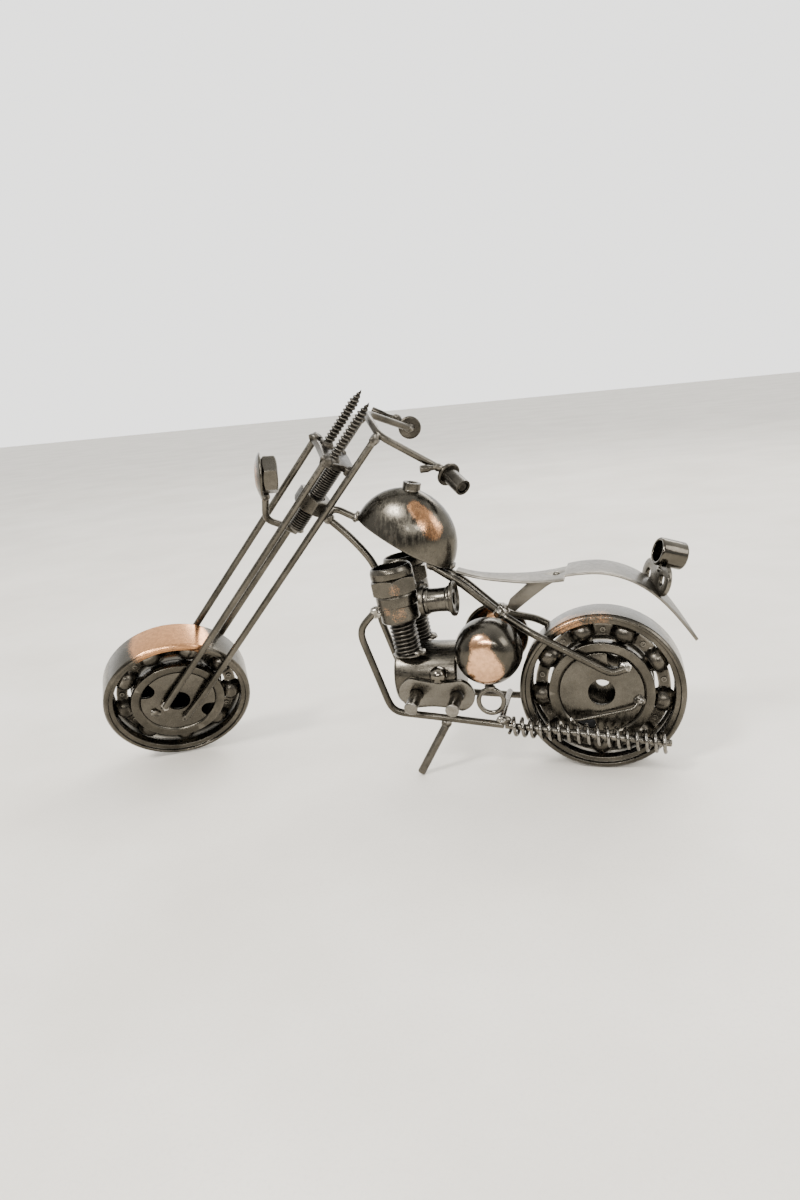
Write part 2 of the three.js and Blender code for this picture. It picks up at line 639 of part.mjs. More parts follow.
// Tail: a small chain plate standing across the fender with a roller for a lamp.
const tail = new THREE.Matrix4().compose(
  new THREE.Vector3(20.4, 0.2, 73.2),
  new THREE.Quaternion().setFromEuler(new THREE.Euler(0, 14 * DEG, 20 * DEG, 'ZYX')),
  new THREE.Vector3(1, 1, 1));
const tailPlate = linkPlate(12.7, 5.8, 4.4, 2.2, 1.6)
  .rotateX(Math.PI / 2).rotateZ(Math.PI / 2).applyMatrix4(tail);
const placeLamp = (geometry) => geometry
  .rotateY(Math.PI / 2 + 5 * DEG).translate(3, -2.2, 9.2).applyMatrix4(tail);
const saddle = placeLamp(cylinder(5.4, -9, 9, 18));
const underFender = strip(fenderStations.map(([x, z]) => [x, z - 2.5, 14]), 6.2);
add('tail_bracket', cut(tailPlate, underFender, saddle), DARK);
const lamp = revolve([[3.9, -5], [4.7, -5], [5.2, -4.5], [5.2, 4.5], [4.7, 5],
  [3.9, 5], [3.9, -5]], 18);
add('tail_light', placeLamp(lamp), DARK);

// ---- exhaust --------------------------------------------------------------------------

const pipeStart = new THREE.Vector3(-36.2, -RAIL_Y, 20.1);
const pipeEnd = new THREE.Vector3(24.6, -RAIL_Y - 0.6, 13.6);
const pipeAim = pipeEnd.clone().sub(pipeStart);
const pipeLength = pipeAim.length();
add('exhaust_rod', aim(cylinder(1.3, 0, pipeLength, 10), pipeStart, pipeAim), GUNMETAL);

const TURNS = 17;
const STEPS = 8;
const WIRE_R = 0.7;
const coil = [];
for (let i = 0; i <= TURNS * STEPS; i += 1) {
  const t = i / (TURNS * STEPS);
  const angle = 2 * Math.PI * t * TURNS;
  const radius = 3.2 + 0.3 * t;
  const reach = 1.6 + (pipeLength - 3.4) * (t - 0.012 * Math.sin(2 * Math.PI * t));
  coil.push(new THREE.Vector3(radius * Math.cos(angle), radius * Math.sin(angle), reach));
}
add('exhaust_spring', aim(sweep(coil, WIRE_R, 5), pipeStart, pipeAim), BRIGHT);

add('exhaust_hanger', rod([
  [13.6, -DISC_OUT - 0.7 - GAP, 27.6], [11.6, -9.4, 25.2], [-8, -10.6, 21.2],
  [-11.4, -11.5, 21.6],
], 0.6, 2, 6), BRIGHT);

add('lower_ring', new THREE.TorusGeometry(4.7, 0.95, 6, 18).rotateX(Math.PI / 2)
  .translate(-41, -13, 29.8), SATIN);

// ---- origin below the middle of the bounding box ------------------------------------

bike.updateMatrixWorld(true);
const box = new THREE.Box3().setFromObject(bike, true);
const middle = box.getCenter(new THREE.Vector3());
bike.position.set(-middle.x, -middle.y, -box.min.z);
bike.updateMatrixWorld(true);

export default bike;
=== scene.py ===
"""Looks of a chopper motorcycle ornament welded together from ball bearings, nuts,
bolts, chain parts, drawn cups, strip and rod.  Lengths are millimetres in a piece's
own axes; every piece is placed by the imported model."""

import json
import math
from collections import deque

import bmesh
import bpy
from mathutils import Matrix, Vector, noise


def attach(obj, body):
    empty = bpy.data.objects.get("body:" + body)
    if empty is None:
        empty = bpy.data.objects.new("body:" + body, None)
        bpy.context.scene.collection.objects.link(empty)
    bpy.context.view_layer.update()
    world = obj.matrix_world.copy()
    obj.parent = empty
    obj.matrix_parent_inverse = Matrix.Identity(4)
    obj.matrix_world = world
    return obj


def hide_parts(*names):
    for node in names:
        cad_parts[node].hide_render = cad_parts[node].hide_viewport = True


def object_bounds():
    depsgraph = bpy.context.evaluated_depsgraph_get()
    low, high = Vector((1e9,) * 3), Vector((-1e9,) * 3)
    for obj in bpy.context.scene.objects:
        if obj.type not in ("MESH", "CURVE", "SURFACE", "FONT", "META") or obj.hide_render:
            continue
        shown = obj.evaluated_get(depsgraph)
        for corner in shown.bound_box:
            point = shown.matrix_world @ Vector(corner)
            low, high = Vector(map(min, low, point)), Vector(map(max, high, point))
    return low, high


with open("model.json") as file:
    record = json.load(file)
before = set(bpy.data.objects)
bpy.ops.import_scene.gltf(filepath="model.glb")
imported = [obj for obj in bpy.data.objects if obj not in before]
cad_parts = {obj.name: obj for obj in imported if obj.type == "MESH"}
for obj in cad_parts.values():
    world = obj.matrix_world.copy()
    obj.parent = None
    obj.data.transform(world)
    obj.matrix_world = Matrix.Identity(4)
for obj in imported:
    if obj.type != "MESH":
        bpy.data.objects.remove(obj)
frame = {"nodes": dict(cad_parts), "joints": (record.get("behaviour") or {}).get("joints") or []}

MM = 0.001
DEG = math.pi / 180
TAU = 2 * math.pi
X, Y, Z = Vector((1, 0, 0)), Vector((0, 1, 0)), Vector((0, 0, 1))

for spare in [o for o in bpy.data.objects if o.type in ("MESH", "LIGHT", "CAMERA")]:
    if spare.name not in frame["nodes"]:
        bpy.data.objects.remove(spare)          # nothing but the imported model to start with

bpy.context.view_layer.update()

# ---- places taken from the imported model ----


def joint(name):
    return next(j for j in frame["joints"] if j["name"] == name)


def axes(origin, x, y, z):
    """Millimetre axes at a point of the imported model."""
    turn = Matrix((x, y, z)).transposed().to_4x4()
    return Matrix.Translation(origin) @ turn @ Matrix.Scale(MM, 4)


REAR_HUB = Vector(joint("rear_wheel_spin")["pos_m"])
HEAD = Vector(joint("steering")["pos_m"])
FRONT_HUB = Vector(joint("front_wheel_spin")["pos_m"])
STEM = Vector(joint("steering")["axis"]).normalized()
AXLE = Vector(joint("front_wheel_spin")["axis"]).normalized()
AHEAD = AXLE.cross(STEM)

BIKE = axes(Vector((REAR_HUB.x, REAR_HUB.y, 0)), X, Y, Z)
FORK = axes(HEAD, AHEAD, AXLE, STEM)
REAR_WHEEL = axes(REAR_HUB, X, Y, Z)
FRONT_WHEEL = axes(FRONT_HUB, AHEAD, AXLE, STEM)


def turned(space, degrees, axis):
    return space @ Matrix.Rotation(degrees * DEG, 4, axis)


def moved(space, x=0.0, y=0.0, z=0.0):
    return space @ Matrix.Translation((x, y, z))


def facing(space, point, direction):
    """Axes at a point of `space` with Z along a direction of `space`."""
    turn = Z.rotation_difference(Vector(direction).normalized()).to_matrix().to_4x4()
    return space @ Matrix.Translation(point) @ turn


def span(node, space):
    """Lowest and highest corner of a CAD node along the axes of `space`."""
    back = space.inverted()
    points = [back @ v.co for v in frame["nodes"][node].data.vertices]
    low = Vector([min(p[i] for p in points) for i in range(3)])
    return low, Vector([max(p[i] for p in points) for i in range(3)])


def middle(node, space):
    low, high = span(node, space)
    return (low + high) / 2


def welded(node, space):
    bm = bmesh.new()
    bm.from_mesh(frame["nodes"][node].data)
    bmesh.ops.remove_doubles(bm, verts=bm.verts, dist=2e-6)
    bmesh.ops.transform(bm, matrix=space.inverted(), verts=bm.verts)
    bm.normal_update()
    bm.verts.index_update()
    bm.faces.ensure_lookup_table()
    return bm


def end_cap(bm, sides):
    """Corners of a flat, regular end face of a rod."""
    for face in bm.faces:
        patch, queue = {face}, deque([face])
        while queue:
            for edge in queue.popleft().edges:
                for other in edge.link_faces:
                    if other not in patch and other.normal.dot(face.normal) > 0.9999:
                        patch.add(other)
                        queue.append(other)
        ring = {v for f in patch for v in f.verts}
        if len(ring) != sides:
            continue
        centre = sum((v.co for v in ring), Vector()) / sides
        reach = [(v.co - centre).length for v in ring]
        if max(reach) < 1.02 * min(reach):
            return ring
    return None


def centreline(node, space, sides=8):
    """Middle of every ring of a CAD rod, from one end to the other."""
    bm = welded(node, space)
    ring = end_cap(bm, sides)
    seen, line = set(ring), []
    while ring:
        line.append(sum((v.co for v in ring), Vector()) / len(ring))
        ring = {e.other_vert(v) for v in ring for e in v.link_edges} - seen
        seen |= ring
    bm.free()
    return line


def stations(node, space):
    """[x, z, half width] of every section of a CAD strip."""
    bm = welded(node, space)
    points = sorted((v.co.copy() for v in bm.verts), key=lambda p: p.x)
    bm.free()
    groups = [points[i:i + 4] for i in range(0, len(points), 4)]
    return [(sum(p.x for p in g) / 4, sum(p.z for p in g) / 4, max(abs(p.y) for p in g))
            for g in groups]


# ---- shapes: (points, faces) in millimetres ----


def shifted(shape, matrix):
    points, faces = shape
    return [matrix @ Vector(p) for p in points], faces


def joined(*shapes):
    points, faces = [], []
    for more, rim in shapes:
        base = len(points)
        points += [Vector(p) for p in more]
        faces += [tuple(base + i for i in f) for f in rim]
    return points, faces


def eased(profile, radius=0.3, closed=True, steps=3):
    """Rounds the corners of a profile."""
    count = len(profile)
    out = []
    for i, corner in enumerate(profile):
        here = Vector(corner).to_2d()
        if (not closed and i in (0, count - 1)) or (not closed and abs(here.x) < 1e-6):
            out.append(tuple(here))
            continue
        before = Vector(profile[i - 1]).to_2d() - here
        after = Vector(profile[(i + 1) % count]).to_2d() - here
        reach = min(radius, 0.4 * before.length, 0.4 * after.length)
        start = here + before.normalized() * reach
        end = here + after.normalized() * reach
        for k in range(steps + 1):
            t = k / steps
            p = start * (1 - t) ** 2 + here * 2 * t * (1 - t) + end * t * t
            out.append((p.x, p.y))
    return out


def lathe(profile, sides=64, closed=True):
    """Body of revolution about Z from (radius, z) pairs."""
    points, rows = [], []
    for r, z in profile:
        if r < 1e-6:
            rows.append([len(points)] * sides)
            points.append((0, 0, z))
        else:
            rows.append(list(range(len(points), len(points) + sides)))
            points += [(r * math.cos(TAU * i / sides), r * math.sin(TAU * i / sides), z)
                       for i in range(sides)]
    faces = []
    pairs = list(zip(rows, rows[1:])) + ([(rows[-1], rows[0])] if closed else [])
    for low, high in pairs:
        for i in range(sides):
            j = (i + 1) % sides
            ring = list(dict.fromkeys((low[i], low[j], high[j], high[i])))
            if len(ring) > 2:
                faces.append(tuple(ring))
    return points, faces


def spun(profile, ease, sides):
    """Body of revolution along an open profile with eased corners."""
    return lathe(eased(profile, ease, closed=False), sides, closed=False)


def capped(rows, sides):
    """Faces joining rings of `sides` points, and fans to two last points at the ends."""
    faces = []
    for k in range(rows):
        for i in range(sides):
            j = (i + 1) % sides
            faces.append((k * sides + i, k * sides + j,
                          (k + 1) * sides + j, (k + 1) * sides + i))
    last = rows * sides
    first, end = last + sides, last + sides + 1
    for i in range(sides):
        j = (i + 1) % sides
        faces += [(j, i, first), (last + i, last + j, end)]
    return faces


def softened(line, steps=4):
    """Rounds every corner of a path by half of its shorter neighbouring run."""
    out = [line[0]]
    for a, b, c in zip(line, line[1:], line[2:]):
        reach = 0.5 * min((a - b).length, (c - b).length)
        start = b + (a - b).normalized() * reach
        end = b + (c - b).normalized() * reach
        for k in range(steps + 1):
            t = k / steps
            out.append(start * (1 - t) ** 2 + b * 2 * t * (1 - t) + end * t * t)
    out.append(line[-1])
    kept = [out[0]]
    for p in out[1:]:
        if (p - kept[-1]).length > 0.02:
            kept.append(p)
    return kept


def tube(line, radius, sides=24, ease=0.3):
    """Round bar along a path with eased ends; radius may follow the distance run."""
    size = radius if callable(radius) else (lambda run: radius)
    runs = [0.0]
    for a, b in zip(line, line[1:]):
        runs.append(runs[-1] + (b - a).length)
    tangents = []
    for i in range(len(line)):
        before = line[i] - line[i - 1] if i else line[1] - line[0]
        after = line[i + 1] - line[i] if i < len(line) - 1 else before
        tangents.append((before.normalized() + after.normalized()).normalized())
    side = tangents[0].orthogonal().normalized()
    sections = []
    for i, (p, t) in enumerate(zip(line, tangents)):
        if i:
            side = tangents[i - 1].rotation_difference(t) @ side
        side = (side - t * side.dot(t)).normalized()
        sections.append((p, t, side, size(runs[i])))
    ends = []
    for which, sign in ((0, 1), (-1, -1)):
        p, t, s, r = sections[which]
        arc = []
        for k in range(4):
            a = k / 3 * math.pi / 2
            arc.append((p + t * sign * ease * (1 - math.cos(a)), t, s,
                        r - ease * (1 - math.sin(a))))
        ends.append(arc)
    sections = ends[0] + sections[1:-1] + ends[1][::-1]
    points = []
    for p, t, s, r in sections:
        other = t.cross(s)
        points += [p + (s * math.cos(TAU * i / sides) + other * math.sin(TAU * i / sides)) * r
                   for i in range(sides)]
    points += [sections[0][0], sections[-1][0]]
    return points, capped(len(sections) - 1, sides)


def nut(across, bore, height, sides=96, chamfer=0.94):
    """Hexagon nut about Z, its corners turned off at both faces; +X is a flat."""
    flat = across / 2
    rows = []
    for i in range(sides):
        angle = TAU * i / sides
        wedge = (angle + math.pi / 6) % (math.pi / 3) - math.pi / 6
        corner = flat / math.cos(wedge)
        drop = max(0.0, corner - flat * chamfer) * math.tan(30 * DEG)
        top, base = height / 2, -height / 2
        rows.append([(bore + 0.45, top), (flat * chamfer, top), (corner, top - drop),
                     (corner, base + drop), (flat * chamfer, base), (bore + 0.45, base),
                     (bore, base + 0.45), (bore, top - 0.45)])
    points, faces = [], []
    for i, row in enumerate(rows):
        angle = TAU * i / sides
        points += [(r * math.cos(angle), r * math.sin(angle), z) for r, z in row]
    n = len(rows[0])
    for i in range(sides):
        j = (i + 1) % sides
        for k in range(n):
            m = (k + 1) % n
            faces.append((i * n + k, j * n + k, j * n + m, i * n + m))
    return points, faces


def threaded(low, high, crest, depth, pitch, sides=28, steps=8, tip=0.0, foot=0.4):
    """Threaded bar about Z; `tip` draws its top to a point over that length."""
    rows = max(4, round((high - low) / pitch * steps))
    points = []
    for k in range(rows + 1):
        z = low + (high - low) * k / rows
        body = crest
        if tip and z > high - tip:
            body = crest * max(0.04, (high - z) / tip) ** 0.8
        elif not tip and high - z < foot:
            body = crest - (foot - (high - z))
        if z - low < foot:
            body = min(body, crest - (foot - (z - low)))
        for i in range(sides):
            turn = (z / pitch - i / sides) % 1.0
            wave = abs(2 * turn - 1)
            cut = depth * (1 - min(1.0, max(0.0, (wave - 0.12) / 0.66)) ** 0.9)
            r = max(0.06, body - cut * min(1.0, body / crest))
            points.append((r * math.cos(TAU * i / sides), r * math.sin(TAU * i / sides), z))
    points += [(0, 0, low), (0, 0, high)]
    return points, capped(rows, sides)


def curve_through(values, steps):
    """Smooth line through rows of numbers (Catmull-Rom)."""
    out = []
    for i in range(len(values) - 1):
        a = values[max(i - 1, 0)]
        b, c = values[i], values[i + 1]
        d = values[min(i + 2, len(values) - 1)]
        for k in range(steps):
            t = k / steps
            out.append(tuple(
                0.5 * (2 * q + (r - p) * t + (2 * p - 5 * q + 4 * r - s) * t * t
                       + (3 * q - p - 3 * r + s) * t ** 3)
                for p, q, r, s in zip(a, b, c, d)))
    out.append(tuple(values[-1]))
    return out


def ribbon(sections, thickness, crown=0.0, dimple=None):
    """Flat strip with eased edges along sections of (x, z, half width)."""
    line = curve_through(sections, 6)
    points, faces = [], []
    across = 14
    for i, (x, z, half) in enumerate(line):
        a, b = line[max(i - 1, 0)], line[min(i + 1, len(line) - 1)]
        run = Vector((b[0] - a[0], b[1] - a[1])).normalized()
        up = Vector((-run.y, run.x))
        edge = min(thickness / 2, 0.45 * half)
        ring = []
        for sign in (1, -1):
            for k in range(across + 1):
                y = sign * (half - edge) * (2 * k / across - 1)
                rise = crown * (1 - (y / half) ** 2)
                if dimple:
                    u = (x - dimple[0]) / dimple[2]
                    v = (y - dimple[1]) / dimple[3]
                    rise -= dimple[4] * max(0.0, 1 - u * u - v * v) ** 1.2
                ring.append((y, sign * thickness / 2 + rise))
            for k in range(1, 4):
                turn = k / 4 * math.pi
                ring.append((sign * (half - edge + edge * math.sin(turn)),
                             sign * thickness / 2 * math.cos(turn)))
        for y, h in ring:
            points.append((x + up.x * h, y, z + up.y * h))
    n = len(points) // len(line)
    for i in range(len(line) - 1):
        for k in range(n):
            m = (k + 1) % n
            faces.append((i * n + k, i * n + m, (i + 1) * n + m, (i + 1) * n + k))
    faces.append(tuple(range(n)))
    faces.append(tuple((len(line) - 1) * n + k for k in reversed(range(n))))
    return points, faces


def taken(bm):
    """Shape held by a bmesh, which is freed."""
    bm.verts.index_update()
    shape = ([v.co.copy() for v in bm.verts], [tuple(v.index for v in f.verts) for f in bm.faces])
    bm.free()
    return shape


def outline_plate(outline, holes, low, high, ease=0.25):
    """Flat plate: eased outline with round holes [(x, y, r)], thickness along Z."""
    bm = bmesh.new()
    loops = [[Vector((x, y, low)) for x, y in outline]]
    for hx, hy, hr in holes:
        loops.append([Vector((hx + hr * math.cos(TAU * i / 32),
                              hy + hr * math.sin(TAU * i / 32), low)) for i in range(32)])
    edges = []
    for loop in loops:
        ring = [bm.verts.new(p) for p in loop]
        edges += [bm.edges.new((a, b)) for a, b in zip(ring, ring[1:] + ring[:1])]
    bmesh.ops.triangle_fill(bm, edges=edges, use_beauty=True)
    for hx, hy, hr in holes:
        inside = [f for f in bm.faces
                  if (f.calc_center_median().to_2d() - Vector((hx, hy))).length < hr * 0.98
                  and all((v.co.to_2d() - Vector((hx, hy))).length < hr * 1.02 for v in f.verts)]
        bmesh.ops.delete(bm, geom=inside, context="FACES_ONLY")
    grown = bmesh.ops.extrude_face_region(bm, geom=bm.faces[:])
    top = [g for g in grown["geom"] if isinstance(g, bmesh.types.BMVert)]
    bmesh.ops.translate(bm, verts=top, vec=(0, 0, high - low))
    bmesh.ops.recalc_face_normals(bm, faces=bm.faces)
    sharp = [e for e in bm.edges if len(e.link_faces) == 2 and e.calc_face_angle() > 50 * DEG
             and abs(e.verts[0].co.z - e.verts[1].co.z) < 1e-6]
    bmesh.ops.bevel(bm, geom=sharp, offset=ease, segments=2, profile=0.5, affect="EDGES")
    return taken(bm)


def bead(size, seed, rough=0.22, detail=3):
    """Lump of weld metal: a ball pushed about by noise."""
    bm = bmesh.new()
    bmesh.ops.create_icosphere(bm, subdivisions=detail, radius=1)
    for v in bm.verts:
        p = v.co.copy()
        push = noise.noise(p * 1.3 + Vector((seed * 7.1, seed * 3.3, seed)))
        push += 0.45 * noise.noise(p * 3.1 + Vector((seed, seed * 5.7, 2.0)))
        v.co = Vector((p.x * size[0], p.y * size[1], p.z * size[2])) * (1 + rough * push)
    return taken(bm)


# ---- finishes ----


class Nodes:
    """Short hand for building a node material."""

    def __init__(self, name):
        self.material = bpy.data.materials.new(name)
        self.material.use_nodes = True
        self.tree = self.material.node_tree
        self.tree.nodes.clear()
        self.shader = self.new("ShaderNodeBsdfPrincipled")
        out = self.new("ShaderNodeOutputMaterial")
        self.link(self.shader.outputs[0], out.inputs[0])
        self.place = self.new("ShaderNodeTexCoord").outputs["Object"]

    def new(self, kind, **values):
        node = self.tree.nodes.new(kind)
        for key, value in values.items():
            if hasattr(node, key):
                setattr(node, key, value)
            else:
                node.inputs[key.replace("_", " ")].default_value = value
        return node

    def link(self, source, target):
        self.tree.links.new(source, target)

    def noise(self, scale, detail=4.0, rough=0.55, stretch=None, spin=(0, 0, 0)):
        node = self.new("ShaderNodeTexNoise", Scale=scale, Detail=detail, Roughness=rough)
        source = self.place
        if stretch:
            shape = self.new("ShaderNodeMapping")
            shape.inputs["Scale"].default_value = stretch
            shape.inputs["Rotation"].default_value = spin
            self.link(source, shape.inputs["Vector"])
            source = shape.outputs[0]
        self.link(source, node.inputs["Vector"])
        return node.outputs["Fac"]

    def rings(self, hub, axle, scale, detail=3.0):
        """Noise that changes only with the distance from an axle."""
        arm = self.new("ShaderNodeVectorMath", operation="SUBTRACT")
        self.link(self.place, arm.inputs[0])
        arm.inputs[1].default_value = hub
        across = self.new("ShaderNodeVectorMath", operation="CROSS_PRODUCT")
        self.link(arm.outputs[0], across.inputs[0])
        across.inputs[1].default_value = axle
        reach = self.new("ShaderNodeVectorMath", operation="LENGTH")
        self.link(across.outputs[0], reach.inputs[0])
        node = self.new("ShaderNodeTexNoise", Scale=scale, Detail=detail)
        node.noise_dimensions = "1D"
        self.link(reach.outputs["Value"], node.inputs["W"])
        return node.outputs["Fac"]

    def spread(self, source, low, high, to_low=0.0, to_high=1.0):
        node = self.new("ShaderNodeMapRange", interpolation_type="SMOOTHSTEP")
        for key, value in (("From Min", low), ("From Max", high),
                           ("To Min", to_low), ("To Max", to_high)):
            node.inputs[key].default_value = value
        self.link(source, node.inputs["Value"])
        return node.outputs[0]

    def sums(self, kind, a, b):
        node = self.new("ShaderNodeMath", operation=kind)
        for socket, value in zip(node.inputs, (a, b)):
            if isinstance(value, (int, float)):
                socket.default_value = value
            else:
                self.link(value, socket)
        return node.outputs[0]

    def ramp(self, source, *stops):
        node = self.new("ShaderNodeValToRGB")
        band = node.color_ramp
        for i, (where, colour) in enumerate(stops):
            stop = band.elements[i] if i < 2 else band.elements.new(where)
            stop.position = where
            stop.color = (*colour, 1)
        self.link(source, node.inputs[0])
        return node.outputs[0]

    def mix(self, amount, a, b):
        node = self.new("ShaderNodeMix", data_type="RGBA")
        self.link(amount, node.inputs[0])
        for socket, value in ((node.inputs[6], a), (node.inputs[7], b)):
            if isinstance(value, tuple):
                socket.default_value = (*value, 1)
            else:
                self.link(value, socket)
        return node.outputs[2]


def steel(name, dark, mid, light, rough=0.3, grain=None, spin=(0, 0, 0), rings=None,
          wear=0.5, copper=(), pits=0.2, bump=0.16, tint=(0.60, 0.30, 0.14)):
    """Antique metal: cloudy patina, rubbed edges, fine grain and copper-toned patches.
    copper: (place in metres, reach in metres, strength) in the piece's own axes."""
    n = Nodes(name)
    cloud = n.noise(75, 5, 0.6)
    mottle = n.noise(620, 4, 0.6)
    speck = n.noise(3600, 3, 0.7)
    colour = n.ramp(cloud, (0.32, dark), (0.52, mid), (0.72, light))
    deep = n.spread(mottle, 0.42, 0.70, 0.0, 0.28)
    colour = n.mix(deep, colour, tuple(c * 0.62 for c in mid))
    pit = n.spread(speck, 0.62, 0.74, 0.0, pits)
    colour = n.mix(pit, colour, tuple(c * 0.3 for c in dark))
    if wear:
        rub = n.new("ShaderNodeNewGeometry").outputs["Pointiness"]
        edge = n.spread(rub, 0.515, 0.58, 0.0, 1.0)
        edge = n.sums("MULTIPLY", edge, n.spread(mottle, 0.3, 0.6, 0.35 * wear, wear))
        colour = n.mix(edge, colour, tuple(min(1.0, c * 1.9 + 0.05) for c in light))
    if copper:
        total = None
        for spot, reach, strength in copper:
            away = n.new("ShaderNodeVectorMath", operation="DISTANCE")
            n.link(n.place, away.inputs[0])
            away.inputs[1].default_value = spot
            patch = n.spread(away.outputs["Value"], reach, reach * 0.45, 0.0, strength)
            total = patch if total is None else n.sums("MAXIMUM", total, patch)
        grainy = n.sums("ADD", total, n.sums("MULTIPLY", n.sums("SUBTRACT", speck, 0.5), 1.9))
        grainy = n.sums("ADD", grainy, n.sums("MULTIPLY", n.sums("SUBTRACT", cloud, 0.5), 0.8))
        washed = n.spread(grainy, 0.40, 0.56, 0.0, 0.9)
        colour = n.mix(washed, colour, n.mix(
            n.spread(mottle, 0.3, 0.7), tint, tuple(c * 0.72 for c in tint)))
    n.link(colour, n.shader.inputs["Base Color"])
    n.shader.inputs["Metallic"].default_value = 1.0
    if rings:
        fine = n.rings(*rings, 5200, 3)
    elif grain:
        fine = n.noise(900, 3, 0.6, grain, spin)
    else:
        fine = n.noise(2600, 3, 0.6)
    gloss = n.sums("ADD", n.spread(mottle, 0.3, 0.7, rough - 0.05, rough + 0.05),
                   n.spread(fine, 0.35, 0.65, -0.05, 0.06))
    n.link(gloss, n.shader.inputs["Roughness"])
    lumps = n.new("ShaderNodeBump", Strength=bump, Distance=0.00006)
    n.link(mottle, lumps.inputs["Height"])
    scratches = n.new("ShaderNodeBump", Strength=bump, Distance=0.000016)
    n.link(fine, scratches.inputs["Height"])
    n.link(lumps.outputs[0], scratches.inputs["Normal"])
    n.link(scratches.outputs[0], n.shader.inputs["Normal"])
    return n.material


# ---- objects ----


def build(name, shape, space, body, slot, finish, nodes=(), crease=38, bevel=0.0):
    """Mesh object, with its corners in the row's own frame, on a CAD body."""
    points, faces = shape
    mesh = bpy.data.meshes.new(name)
    mesh.from_pydata([space @ Vector(p) for p in points], [], faces)
    bm = bmesh.new()
    bm.from_mesh(mesh)
    bmesh.ops.remove_doubles(bm, verts=bm.verts, dist=1e-7)
    bmesh.ops.recalc_face_normals(bm, faces=bm.faces)
    bm.to_mesh(mesh)
    bm.free()
    mesh.polygons.foreach_set("use_smooth", [True] * len(mesh.polygons))
    mesh.set_sharp_from_angle(angle=crease * DEG)
    mesh.materials.append(finish)
    obj = bpy.data.objects.new(name, mesh)
    bpy.context.scene.collection.objects.link(obj)
    if bevel:
        edge = obj.modifiers.new("edges", "BEVEL")
        edge.width = bevel * MM
        edge.segments = 2
        edge.limit_method = "ANGLE"
        edge.angle_limit = 32 * DEG
        edge.harden_normals = False
    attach(obj, body)
    if nodes:
        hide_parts(*nodes)
    return obj


GUN = dict(dark=(0.046, 0.042, 0.034), mid=(0.078, 0.071, 0.058), light=(0.118, 0.107, 0.088))
DIM = dict(dark=(0.022, 0.020, 0.016), mid=(0.062, 0.056, 0.046), light=(0.115, 0.104, 0.086))
INK = dict(dark=(0.010, 0.009, 0.008), mid=(0.030, 0.027, 0.022), light=(0.070, 0.063, 0.052))
SAT = dict(dark=(0.072, 0.066, 0.055), mid=(0.110, 0.101, 0.085), light=(0.155, 0.143, 0.121))
RAW = dict(dark=(0.09, 0.083, 0.070), mid=(0.17, 0.158, 0.137), light=(0.31, 0.292, 0.26))

gunmetal = steel("gunmetal_steel", rough=0.30, **GUN)
drawn_rod = steel("drawn_rod", rough=0.30, bump=0.35, **GUN)
dark_steel = steel("dark_steel", rough=0.32, **DIM)
blackened = steel("blackened_steel", rough=0.36, wear=0.8, pits=0.5, bump=0.4, **INK)
satin = steel("satin_steel", rough=0.36, grain=(0.15, 3.0, 3.0), bump=0.3, wear=0.35, **SAT)
bright = steel("bright_steel", rough=0.24, wear=0.4, pits=0.2, dark=(0.05, 0.046, 0.038),
               mid=(0.10, 0.092, 0.077), light=(0.17, 0.157, 0.134))
raw_weld = steel("raw_weld", rough=0.24, wear=0.7, bump=0.7, pits=0.15, **RAW)
dark_weld = steel("dark_weld", rough=0.34, wear=0.9, bump=0.8, pits=0.4, **DIM)

# ---- bearing wheels ----

BALLS = 9
low, high = span("rear_outer_ring", REAR_WHEEL)
HALF = (high.y - low.y) / 2
TYRE_R = high.x                     # tread radius
RIM_R = TYRE_R - 0.15               # smooth tread stays on the floor
PITCH_R = 0.742 * TYRE_R            # circle of ball centres
BALL_R = 4.7
RACE_R = BALL_R + 0.2
LIP_R = TYRE_R - 2.2
OUTER_SHOULDER_R = TYRE_R - 4.1
INNER_SHOULDER_R = PITCH_R - 3.4
BORE_R = 15.6
DISC_OUT = span("rear_hub_disc_near", REAR_WHEEL)[0].y * -1
DISC_T = 1.2
HOLE_R = 5
PILOT_R = 2.6                       # centre hole of the far disc
NOTCH_R = 3.4
SPIN_AXLE = Matrix.Rotation(math.pi / 2, 4, "X")


def race(middle_r, sign, low, high, steps=8):
    """Groove of a ball race between two heights, bulging by `sign`."""
    out = []
    for k in range(steps + 1):
        z = low + (high - low) * k / steps
        out.append((middle_r + sign * math.sqrt(max(0.0, RACE_R ** 2 - z * z)), z))
    return out


def cage_half(turn, sign):
    """One pressed half of the ball cage: flat pads between pockets round the balls."""
    skin, width, wall = BALL_R + 0.18, 2.3, 0.42
    count, across = BALLS * 32, 6
    points, faces = [], []
    for layer in (0, 1):
        for i in range(count):
            angle = TAU * i / count
            off = ((angle - turn + math.pi / BALLS) % (TAU / BALLS)) - math.pi / BALLS
            for k in range(across + 1):
                r = PITCH_R + width * (2 * k / across - 1)
                flat = Vector((r * math.cos(off) - PITCH_R, r * math.sin(off)))
                dome = max(0.0, skin ** 2 - flat.length_squared)
                lift = max(0.3, math.sqrt(dome) if dome > 0 else 0.0)
                lift = max(0.3, lift - 0.2) + layer * wall
                points.append((r * math.cos(angle), r * math.sin(angle), sign * lift))
    row = across + 1
    shell = count * row
    for i in range(count):
        j = (i + 1) % count
        for k in range(across):
            a, b, c, d = i * row + k, j * row + k, j * row + k + 1, i * row + k + 1
            faces += [(a, b, c, d), (shell + d, shell + c, shell + b, shell + a)]
        for k in (0, across):
            faces.append((i * row + k, j * row + k, shell + j * row + k, shell + i * row + k))
    return points, faces


